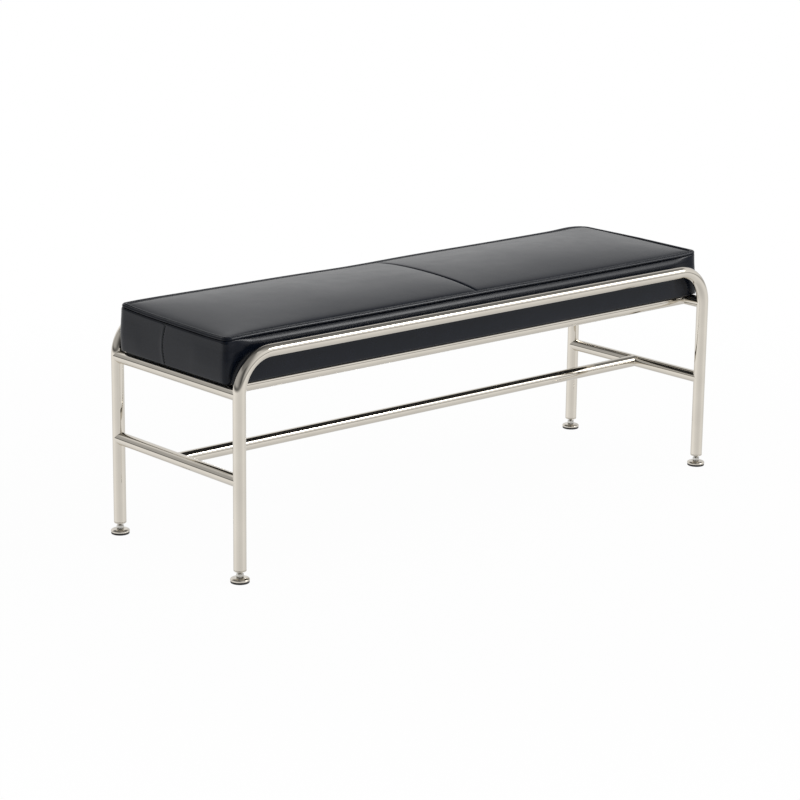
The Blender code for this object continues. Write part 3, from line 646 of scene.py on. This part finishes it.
def readGrid(grid, row, col):
    # The value of a grid between its points: the mean of the four round it, weighted by nearness.
    row, col = np.clip(row, 0, grid.shape[0] - 1.001), np.clip(col, 0, grid.shape[1] - 1.001)
    i, j = row.astype(int), col.astype(int)
    u, v = row - i, col - j
    near, far = grid[i, j] * (1 - u) + grid[i + 1, j] * u, grid[i, j + 1] * (1 - u) + grid[i + 1, j + 1] * u
    return near * (1 - v) + far * v


def coverTop(x, y, share):
    # The top's height: stitch line, a puff beside it, the crown, the blown lift, less the centre seam's dip.
    inset = seat["stitchInset"]
    reach = seat["end"] - inset
    puff = seat["puff"] * (1 - np.exp(-edgeDistance(x, y, inset) / seat["puffReach"]))
    col, row = (x / reach + 1) / 2 * (swelling["cols"] - 1), (share + 1) / 2 * (swelling["rows"] - 1)
    lift = readGrid(topShape, col, row)
    crown = swelling["startCrown"] * crownShare(x, share) + swelling["topLift"] * lift
    dip = seat["seamDip"] * np.exp(-np.abs(x) / seat["seamReach"]) * (1 - np.abs(share) ** 12)
    return seat["rimTop"] + rimShift(x, y) - seat["stitchDrop"] + puff + crown - dip


def addLeather(nodeName, grids):
    # A leather panel: the settled surface with the leather's thickness on its inside.
    piece = addPiece(settle(meshFrom(camel(nodeName), grids, 60)), "leather", "frame", "leather", nodeName)
    solid = piece.modifiers.new("leather", "SOLIDIFY")
    solid.thickness, solid.offset = seat["leather"], -1


panel = dict(
    seamColumns=(0.00002, 0.0004, 0.001, 0.0016, 0.0024, 0.0034, 0.0048, 0.0066, 0.009, 0.012, 0.016, 0.021),
    evenFrom=0.027, evenColumns=96, cornerColumns=13, rows=65, crowding=1.6, fold=0.006,
    welt=(
        (10.0, -2.7), (9.6, -2.5), (9.2, -1.7), (8.8, -0.6), (8.3, 0.1), (7.5, 0.4), (6.4, 0.5), (5.5, 0.3),
        (4.9, -0.4), (4.5, -1.5), (4.1, -2.1), (3.6, -1.8), (3.0, -0.9), (2.2, -0.4), (1.4, -0.3),
        (0.6, -0.6), (0.0, -1.25), (-0.55, -2.2), (-1.05, -3.1), (-1.15, -4.1), (-0.5, -5.3), (1.1, -6.3),
        (3.2, -6.8), (5.8, -7.0), (9.0, -7.1),
    ),
)


def topPanel(nodeName, sign):
    # A half top: its grid turns down at the centre seam, and its rim carries the welt along the outline.
    inset, straight = seat["stitchInset"], seat["end"] - seat["corner"]
    turn = np.linspace(0, np.pi / 2, panel["cornerColumns"])[1:]
    even = np.linspace(panel["evenFrom"], straight, panel["evenColumns"])
    x = joined([panel["seamColumns"], even, straight + (seat["corner"] - inset) * np.sin(turn)])[:, None]
    step = np.linspace(-1, 1, panel["rows"])
    share = np.sign(step) * (1 - (1 - np.abs(step)) ** panel["crowding"])
    across = halfWidth(x, inset) * share
    grid = places(sign * x, across, coverTop(sign * x, across, share))
    fold = grid[:1] - np.array([0, 0, panel["fold"]])
    edge = joined([grid[:, 0], grid[-1, 1:-1], grid[::-1, -1]])
    out = outwards(edge)
    welt = smoothCurve(panel["welt"], 3) / 1000
    moved = edge[:, None, :2] + out[:, None] * (inset - welt[:, :1])
    ring = places(moved[..., 0], moved[..., 1], edge[:, 2:] + welt[:, 1] - welt[0, 1])
    addLeather(nodeName, [(joined([fold, grid]), False, False), (ring, False, False)])


boxing = dict(
    endProfile=(
        (-8.5, 474.5), (-6.4, 474.4), (-4.3, 474.2), (-2.3, 473.9), (-0.6, 473.4), (0.5, 472.7), (1.1, 471.6),
        (1.4, 469.9), (1.5, 467.6), (1.55, 465.0), (1.6, 462.0), (1.7, 458.2), (1.8, 453.0), (2.0, 446.5),
        (2.2, 437.5), (2.4, 426.5), (2.6, 416.0), (2.7, 408.0), (2.8, 401.0), (2.8, 394.5), (2.8, 389.8),
        (2.4, 388.0), (1.0, 387.2), (-9.5, 387.2), (-11.3, 382.0),
    ),
    sideProfile=(
        (-8.5, 474.4), (-7.4, 474.2), (-6.4, 473.9), (-5.4, 473.5), (-4.5, 472.9), (-3.1, 471.2),
        (-1.8, 469.5), (-0.6, 467.75), (0.5, 465.95), (1.45, 464.1), (2.25, 462.2), (2.8, 460.2),
        (2.97, 458.1), (3.05, 454.5), (3.15, 448.5), (3.15, 439.0), (3.1, 430.0), (2.9, 421.0), (2.7, 408.0),
        (2.5, 396.0), (2.4, 390.0), (2.0, 386.2), (1.1, 383.7), (-0.8, 382.4), (-11.3, 382.0),
    ),
    # A pair is a height or place and the run over which it takes hold.
    spacing=0.006, top=0.472, fold=0.006, stitchRow=2, slopeEnd=(0.632, 0.05), slopeLow=0.43, slopeRise=0.02,
    squareness=5.0, squareRadius=0.0168, rearSquare=0.35, squareTop=(0.474, 0.006), squareFoot=0.003,
    rightHem=0.8, rightHemTop=(0.394, 0.006), rightSwell=0.0048, rightSwellTop=(0.441, 0.026),
    rightSwellFoot=0.001, hemSide=-0.0137, hemEnd=-0.0158, hemCorner=-0.0125, cornerFrom=0.02, liftTop=0.47,
    liftFade=0.02, liftFadeEnd=0.035, liftFoot=0.384, liftFootFade=0.01, seamDip=0.0026, seamReach=0.0016,
    seamFloor=0.14, seamFade=0.2, seamTuck=(0.4725, 0.003), seamProud=0.0006, proudAt=(0.004, 0.003),
    seamBow=0.0072, seamTop=-0.0028, seamFoot=-0.0035, bowReach=0.045,
)
seamLines = []


def boxingPanel(nodeName, path, firstRow, rows):
    # A side band: a profile carried along the outline, from the tuck under the welt over the shoulder to the
    # hem. The shoulder's slope runs out near the corners, the left corners are squared by a superellipse, and
    # the right end swells and hangs lower. The blown lift moves it all out, and both end seams draw it in.
    at, total, place, out = path
    x, y, base = place[:, :1], place[:, 1:], seat["base"]
    endLine, sideLine = (smoothCurve(boxing[key], 4) / 1000 for key in ("endProfile", "sideProfile"))
    onSide = np.abs(out[:, 1:]) ** 6
    run = shareOfRun(np.abs(x), *boxing["slopeEnd"])
    upper = shareOfRun(boxing["slopeLow"], sideLine[:, 1], boxing["slopeRise"])
    sloped = onSide * (1 - upper * (1 - run**2 * (3 - 2 * run)))
    offset, height = (endLine[:, axis] * (1 - sloped) + sideLine[:, axis] * sloped for axis in (0, 1))
    power = boxing["squareness"]
    square = (np.abs(out) ** power).sum(axis=1, keepdims=True) ** (-1 / power) - 1
    square = square * np.where(out[:, 1:] < 0, 1, boxing["rearSquare"]) * (out[:, :1] < 0)
    square = boxing["squareRadius"] * square * shareOfRun(height, *boxing["squareTop"])
    offset = offset + square * shareOfRun(base, height, boxing["squareFoot"])
    onRight = (1 - onSide) * (x > 0)
    hang = boxing["rightHem"] * onRight * shareOfRun(height, *boxing["rightHemTop"])
    height = height - hang * (height - base)
    lower = np.sin(np.pi / 2 * shareOfRun(height, *boxing["rightSwellTop"])) ** 2
    lower = lower * shareOfRun(base, height, boxing["rightSwellFoot"])
    offset = offset + boxing["rightSwell"] * onRight * lower
    hem = boxing["hemSide"] * onSide + (boxing["hemEnd"] - seat["shift"] * np.sign(x)) * (1 - onSide)
    onCorner = np.abs(out).min(axis=1, keepdims=True) > boxing["cornerFrom"]
    hem = np.where(onCorner, np.maximum(hem, boxing["hemCorner"]), hem)
    offset, height = joined([offset, hem], axis=1), joined([height, height[:, -1:]], axis=1)
    level = shareOfRun(height, boxing["top"], swelling["sideHeight"])
    row = firstRow + at / total * (rows - 1)
    lift = readGrid(sideShape, row[:, None], level * (swelling["levels"] - 1))
    fade = shareOfRun(height, boxing["liftTop"], boxing["liftFade"] + boxing["liftFadeEnd"] * (1 - onSide))
    fade = fade * shareOfRun(boxing["liftFoot"], height, boxing["liftFootFade"])
    fromEnd = np.minimum(at, total - at)[:, None]
    depth = boxing["seamFloor"] + (1 - boxing["seamFloor"]) * hump(level, 0, boxing["seamFade"])
    dip = boxing["seamDip"] * depth * np.exp(-fromEnd / boxing["seamReach"])
    if firstRow > 0:
        dip = dip - boxing["seamProud"] * hump(fromEnd, *boxing["proudAt"])
    dip = dip * shareOfRun(height, *boxing["seamTuck"]) * fade**0.3
    reach = offset + swelling["sideLift"] * lift * fade - dip
    bow = boxing["seamBow"] * np.sin(np.pi * level) + boxing["seamTop"] * (1 - level) ** 3
    bow = (bow + boxing["seamFoot"] * level**3) * hump(fromEnd, 0, boxing["bowReach"])
    grid = places(x + out[:, :1] * reach, y + out[:, 1:] * reach + bow, height + rimShift(x, y) * (1 - level))
    inward = np.column_stack([out, 0 * at])[:, None] * boxing["fold"]
    grid = joined([grid[:1] - inward[:1], grid, grid[-1:] - inward[-1:]])
    if firstRow > 0:
        seamLines.extend([grid[boxing["stitchRow"]], grid[-1 - boxing["stitchRow"]]])
    addLeather(nodeName, [(grid, False, False)])


frontPath, rearPath = outlineLoop(boxing["spacing"])
topPanel("left_top_panel", -1)
topPanel("right_top_panel", 1)
boxingPanel("front_boxing", frontPath, 0, frontCount)
boxingPanel("rear_boxing", rearPath, frontCount, len(sideShape) - frontCount)
print("cover: 4 panels")


# Under the cover: the foam, a little within it all round.
foam = dict(
    gap=0.0042, inset=0.0105, base=0.3966, cols=50, rows=31, levels=8, swell=0.006, groove=0.0072,
    grooveReach=0.0042, seamColumns=(0, 0.0021, 0.0034, 0.005, 0.0075), evenFrom=0.012,
)


def addFoam():
    # The top follows the cover's at a gap, grooved at the seam; the sides swell by a sine to a flat base.
    inset, straight, clear = foam["inset"], seat["end"] - seat["corner"], foam["evenFrom"]
    bend = (seat["corner"] - inset) * np.sin(np.linspace(0, np.pi / 2, 8)[1:])
    x = joined([foam["seamColumns"], np.linspace(clear, straight, foam["cols"]), straight + bend])
    x = joined([-x[:0:-1], x])[:, None]
    share = np.linspace(-1, 1, foam["rows"])
    across = halfWidth(x, inset) * share
    dipless = coverTop(np.where(np.abs(x) < clear, clear, x), across, share)
    groove = foam["groove"] * np.exp(-((x / foam["grooveReach"]) ** 4))
    upper = places(x, across, dipless - foam["gap"] - groove)
    lower = upper * np.array([1, 1, 0]) + np.array([0, 0, foam["base"]])
    edge = joined([upper[:, 0], upper[-1, 1:-1], upper[::-1, -1], upper[0, -2:0:-1]])
    out = outwards(edge)
    level = np.linspace(0, 1, foam["levels"])[:, None]
    swell = foam["swell"] * np.sin(np.pi * level)
    height = edge[:, 2] * (1 - level) + foam["base"] * level
    wall = places(edge[:, 0] + out[:, 0] * swell, edge[:, 1] + out[:, 1] * swell, height)
    grids = [(upper, False, False), (lower, False, False), (wall, False, True)]
    mesh = settle(meshFrom("seatFoam", grids, 50))
    addPiece(mesh, "foam", "frame", "foam", "seat_foam")


addFoam()


# Stitching: short rounded threads, end to end in the crease of the welt and down the end seams.
stitch = dict(
    spacing=0.002, pitch=0.005, length=0.0038, radius=0.00045, inset=0.0045, height=0.4779, seamLow=0.392,
    seamHigh=0.468, seamPitch=0.0054, seamLength=0.003, seamRadius=0.0009, seamProud=0.0004,
)


def capsule(length, radius, rows=5, cols=8):
    # A rod along the first axis; at its round ends the girth is the radius times the sine of the end angle.
    half = length / 2 - radius
    bend = np.linspace(0, np.pi / 2, rows)
    along = joined([-half - radius * np.cos(bend), half + radius * np.cos(bend[::-1])])[:, None]
    girth = radius * np.sin(joined([bend, bend[::-1]]))[:, None]
    angle = np.arange(cols) * 2 * np.pi / cols
    return places(along, girth * np.cos(angle), girth * np.sin(angle))


def addStitching():
    # Threads lie along both loops, moved inwards, at places by length, and down both end seams by height.
    spots, axes = [], []
    for at, total, place, _ in outlineLoop(stitch["spacing"]):
        where = np.arange(stitch["pitch"] / 2, total, stitch["pitch"])
        centre = np.stack([np.interp(where, at, place[:, axis]) for axis in (0, 1)], axis=1)
        normal = outwards(centre)
        centre = centre - normal * stitch["inset"]
        spots.append(np.column_stack([centre, stitch["height"] + rimShift(centre[:, 0], centre[:, 1])]))
        along = np.column_stack([-normal[:, 1], normal[:, 0], 0 * normal[:, 0]])
        across = np.column_stack([normal, 0 * normal[:, 0]])
        axes.append(np.stack([along, across, np.tile([0.0, 0.0, 1.0], (len(centre), 1))], axis=1))
    thread = capsule(stitch["length"], stitch["radius"])
    mesh = settle(copiesMesh("weltStitching", thread, joined(spots), joined(axes)))
    addPiece(mesh, "thread", "frame", "leather")
    spots, axes = [], []
    for line in seamLines:
        rise = np.arange(stitch["seamLow"], stitch["seamHigh"], stitch["seamPitch"])
        line = line[np.argsort(line[:, 2])]
        spot = np.stack([np.interp(rise, line[:, 2], line[:, axis]) for axis in (0, 1, 2)], axis=1)
        spots.append(spot + np.array([np.sign(line[0, 0]) * stitch["seamProud"], 0, 0]))
        axes.append(np.tile(np.array([[0.0, 0, 1], [0, 1, 0], [1, 0, 0]]), (len(rise), 1, 1)))
    thread = capsule(stitch["seamLength"], stitch["seamRadius"])
    mesh = settle(copiesMesh("endSeamStitching", thread, joined(spots), joined(axes)))
    addPiece(mesh, "thread", "frame", "leather")


addStitching()
print("foam and stitching done")


# Underneath: the bottoming cloth and its staples, the seat screws, finishes for the board and tee nuts.
below = dict(
    clothHalfX=0.628, clothHalfY=0.1577, clothTop=0.3838, clothSag=0.0009, clothDrop=0.0006,
    clothThickness=0.0005, staplePitch=0.042, stapleInset=0.006, stapleMargin=0.012, stapleDrop=0.001,
    stapleLength=0.01, stapleRadius=0.0004,
)


def addCloth():
    # A stapled cloth; its sag is one less the eighth power along, times one less the fourth power across.
    x, y = np.linspace(-1, 1, 121)[:, None], np.linspace(-1, 1, 33)
    sag = below["clothSag"] * (1 - x**8) * (1 - np.abs(y) ** 4)
    height = below["clothTop"] - below["clothDrop"] - sag
    grid = places(x * below["clothHalfX"], y * below["clothHalfY"], height)
    piece = addPiece(meshFrom("dustCover", [(grid, False, False)]), "cloth", "frame", "cloth", "dust_cover")
    solid = piece.modifiers.new("cloth", "SOLIDIFY")
    solid.thickness, solid.offset = below["clothThickness"], 0


def addStaples():
    # Wire staples along the cloth's four edges, at an even pitch and a margin inside, each along its edge.
    halfX, halfY = below["clothHalfX"] - below["stapleInset"], below["clothHalfY"] - below["stapleInset"]
    spots, axes = [], []
    for along, fixed, reach, gap in ((0, 1, halfX, halfY), (1, 0, halfY, halfX)):
        count = int(2 * reach / below["staplePitch"])
        place = np.linspace(-reach + below["stapleMargin"], reach - below["stapleMargin"], count)
        for side in (-1, 1):
            spot = np.full((count, 3), below["clothTop"] - below["stapleDrop"])
            spot[:, along], spot[:, fixed] = place, side * gap
            turn = np.zeros((count, 3, 3))
            turn[:, 0, along], turn[:, 1, fixed], turn[:, 2, 2] = 1, 1, 1
            spots.append(spot)
            axes.append(turn)
    wire = capsule(below["stapleLength"], below["stapleRadius"])
    mesh = copiesMesh("clothStaples", wire, joined(spots), joined(axes))
    addPiece(mesh, "steel", "frame", "steel")


screw = dict(
    sides=48, recess=0.002, recessBreak=0.0002, recessHeights=(0.3771, 0.3771, 0.3753, 0.3751),
    line=(
        (0.0027, 0.3751), (0.0036, 0.3753), (0.0043, 0.3758), (0.0048, 0.3766), (0.005, 0.3776),
        (0.0049, 0.3783), (0.0046, 0.3785), (0.003, 0.3785), (0.003, 0.3938), (0.0025, 0.3943), (0, 0.3943),
    ),
)


def addScrews():
    # Turned screws: a hexagon recess, a domed head inside the rail and a plain shank up to the tee nut.
    recess, line = hexagon(screw["recess"], screw["sides"]), np.array(screw["line"])
    radius = [0 * recess, recess, recess, recess + screw["recessBreak"]]
    radius = joined([radius, line[:, :1] + 0 * recess])
    height = joined([screw["recessHeights"], line[:, 1]])[:, None]
    for word, y in (("front", -tube["seatRailY"]), ("rear", tube["seatRailY"])):
        for number, x in enumerate(tube["screwX"], 1):
            nodeName = f"{word}_seat_screw_{number}"
            grid = turned(radius, height, (x, y), screw["sides"])
            mesh = meshFrom(camel(nodeName), [(grid, False, True)], 40)
            addPiece(mesh, "zinc", "frame", "steel", nodeName)


addCloth()
addStaples()
addScrews()
for nodeName, made in nodes.items():
    if nodeName == "seat_board" or "tee_nut" in nodeName:
        made.data.materials.clear()
        made.data.materials.append(materials["wood" if nodeName == "seat_board" else "steel"])
print("underside done")


# The stage: a white floor that keeps the shadow, studio walls, lamps and the photo's camera.
stage = dict(
    floorRings=((0, -0.0002), (1.5, -0.0002), (6.0, -0.0002), (40.0, -0.0002)), floorGlow=0.97, glowFrom=0.8,
    glowTo=2.2, floorShade=0.8, shadeFrom=-0.7, wallBlend=0.03, ceilingFrom=0.56, ceilingTo=0.7,
    horizonReach=0.15, aim=(0, 0, 0.4),
    horizon=(
        (-180, 0.12), (-150, 0.16), (-131, 0.2), (-95, 0.34), (-57, 0.26), (-20, 0.4), (15, 0.6), (75, 0.6),
        (100, 0.62), (116, 0.4), (126, 0.11), (180, 0.12),
    ),
    ceiling=(
        (-180, 0.2), (-150, 0.22), (-131, 0.24), (-109, 0.36), (-88, 0.62), (-70, 0.7), (-50, 0.36),
        (-30, 0.26), (0, 0.2), (25, 0.16), (40, 0.1), (110, 0.1), (131, 0.2), (180, 0.2),
    ),
    lowWalls=(
        (-180, 0.94), (-131, 0.83), (-95, 0.85), (-57, 1.0), (-25, 0.92), (12, 0.84), (85, 0.84), (118, 1.04),
        (148, 1.08), (180, 0.94),
    ),
    highWalls=(
        (-180, 0.42), (-150, 0.22), (-131, 0.07), (-117, 0.15), (-100, 0.52), (-74, 0.85), (-57, 0.95),
        (-20, 0.86), (38, 0.66), (44, 0.78), (49, 0.9), (54, 0.82), (58, 0.78), (75, 0.88), (95, 1.0),
        (104, 0.92), (115, 0.52), (126, 0.44), (150, 0.46), (180, 0.42),
    ),
    lamps=dict(
        softbox=dict(place=(2.55, -2.58, 2.77), size=(2.5, 1.1), power=28, mirrored=True),
        hotBox=dict(place=(2.3, -2.5, 2.7), size=(0.9, 0.8), power=16, mirrored=True),
        fill=dict(place=(0.0, 0.0, 4.2), size=(4.0, 4.0), power=55, mirrored=False),
    ),
)


def addFloor():
    # The camera sees mostly plain white, so the floor stays white but for a soft shadow near the bench.
    mesh = turnedMesh("floor", stage["floorRings"], (0, 0), 64, False)
    if mesh.polygons[0].normal.z < 0:
        mesh.flip_normals()
    material = bpy.data.materials.new("floorWhite")
    material.use_nodes = True
    tree = material.node_tree
    tree.nodes.clear()
    rays = addNode(tree, "ShaderNodeLightPath")
    seen = combine(tree, "MAXIMUM", rays["Is Camera Ray"], rays["Is Glossy Ray"])
    seen = combine(tree, "MAXIMUM", seen, rays["Is Transmission Ray"])
    place = addNode(tree, "ShaderNodeTexCoord")["Object"]
    away = addNode(tree, "ShaderNodeVectorMath", {0: place}, operation="LENGTH")["Value"]
    share = ranged(tree, away, stage["glowFrom"], stage["glowTo"], stage["floorGlow"], 1.0, "SMOOTHSTEP")
    plain = addNode(tree, "ShaderNodeBsdfDiffuse", {"Color": (0.9, 0.9, 0.9, 1)})[0]
    white = addNode(tree, "ShaderNodeEmission", {"Color": (1, 1, 1, 1), "Strength": 1.0})[0]
    share = combine(tree, "MULTIPLY", seen, share)
    mixed = addNode(tree, "ShaderNodeMixShader", {0: share, 1: plain, 2: white})
    addNode(tree, "ShaderNodeOutputMaterial", {"Surface": mixed[0]})
    mesh.materials.append(material)
    floor = linked("floor", mesh)
    floor.visible_glossy = False
    return floor


def wallRamp(tree, share, stops):
    # A level for each bearing in degrees, blended between its stops.
    ramp = addNode(tree, "ShaderNodeValToRGB", {"Fac": share})
    elements = ramp["Color"].node.color_ramp.elements
    while len(elements) < len(stops):
        elements.new(0.5)
    for element, (degrees, level) in zip(elements, stops):
        element.position, element.color = (degrees + 180) / 360, (level, level, level, 1)
    return ramp["Color"]


def addSky():
    # Mirrored rays meet pale walls and a ceiling with levels by bearing, apart below and above the horizon,
    # dimmer along it and shaded towards the floor. Straight to the camera all is plain white.
    world = bpy.data.worlds.new("studio")
    scene.world = world
    world.use_nodes = True
    tree = world.node_tree
    tree.nodes.clear()
    rays = addNode(tree, "ShaderNodeLightPath")
    direction = addNode(tree, "ShaderNodeTexCoord")["Generated"]
    x, y, z = addNode(tree, "ShaderNodeSeparateXYZ", {0: direction})
    bearing = ranged(tree, combine(tree, "ARCTAN2", y, x), -np.pi, np.pi)
    bands = ("lowWalls", "highWalls", "ceiling", "horizon")
    low, high, ceiling, horizon = (wallRamp(tree, bearing, stage[band]) for band in bands)
    low = combine(tree, "MULTIPLY", low, ranged(tree, z, stage["shadeFrom"], 0.0, stage["floorShade"]))
    climb = ranged(tree, z, stage["ceilingFrom"], stage["ceilingTo"], kind="SMOOTHSTEP")
    above = ranged(tree, z, -stage["wallBlend"], stage["wallBlend"], kind="SMOOTHSTEP")
    level = blend(tree, above, low, blend(tree, climb, high, ceiling))
    clear = ranged(tree, combine(tree, "ABSOLUTE", z), 0.0, stage["horizonReach"], kind="SMOOTHSTEP")
    level = blend(tree, clear, horizon, level)
    walls = addNode(tree, "ShaderNodeBackground", {"Color": level, "Strength": 1.0})[0]
    plain = addNode(tree, "ShaderNodeBackground", {"Color": (1, 1, 1, 1), "Strength": 1.0})[0]
    mixed = addNode(tree, "ShaderNodeMixShader", {0: rays["Is Camera Ray"], 1: walls, 2: plain})
    addNode(tree, "ShaderNodeOutputWorld", {"Surface": mixed[0]})


def addStanding(name, data, right, above, back, place):
    # A lamp or camera whose matrix has its three axes and its place as columns.
    turn = np.eye(4)
    turn[:3] = np.column_stack([right, above, back, place])
    holder = linked(name, data)
    holder.matrix_world = Matrix(turn.tolist())
    return holder


def addLamp(name, settings):
    # A flat lamp that faces the bench's middle: its back is the way from there to the lamp, and its long side
    # is the bench's long direction less its share along the back.
    lamp = bpy.data.lights.new(name, "AREA")
    lamp.shape = "RECTANGLE"
    lamp.size, lamp.size_y = settings["size"]
    lamp.energy = settings["power"]
    back = np.array(settings["place"]) - np.array(stage["aim"])
    back = back / np.linalg.norm(back)
    right = np.array([1.0, 0.0, 0.0])
    right = right - back * (right @ back)
    right = right / np.linalg.norm(right)
    box = addStanding(name, lamp, right, np.cross(back, right), back, settings["place"])
    box.visible_glossy, box.visible_camera = settings["mirrored"], False


view = dict(
    lens=118.269, sensor=36, farthest=200, yaw=0.71907904, pitch=0.25995828, roll=0.01183151,
    place=(-3.54701516, -3.97866875, 1.63030662),
)


def addCamera():
    # Forward from yaw and pitch; right and up are turned about it by the roll.
    yaw, pitch, roll = view["yaw"], view["pitch"], view["roll"]
    forward = np.array([np.sin(yaw) * np.cos(pitch), np.cos(yaw) * np.cos(pitch), -np.sin(pitch)])
    level = np.array([np.cos(yaw), -np.sin(yaw), 0])
    above = np.cross(level, forward)
    right, up = np.cos(roll) * level + np.sin(roll) * above, np.cos(roll) * above - np.sin(roll) * level
    camera = bpy.data.cameras.new("camera")
    camera.sensor_width, camera.lens, camera.clip_end = view["sensor"], view["lens"], view["farthest"]
    scene.camera = addStanding("camera", camera, right, up, -forward, view["place"])


addFloor()
addSky()
for lampName, lampSettings in stage["lamps"].items():
    addLamp(lampName, lampSettings)
addCamera()
scene.view_settings.view_transform = "Standard"
print("stage done")
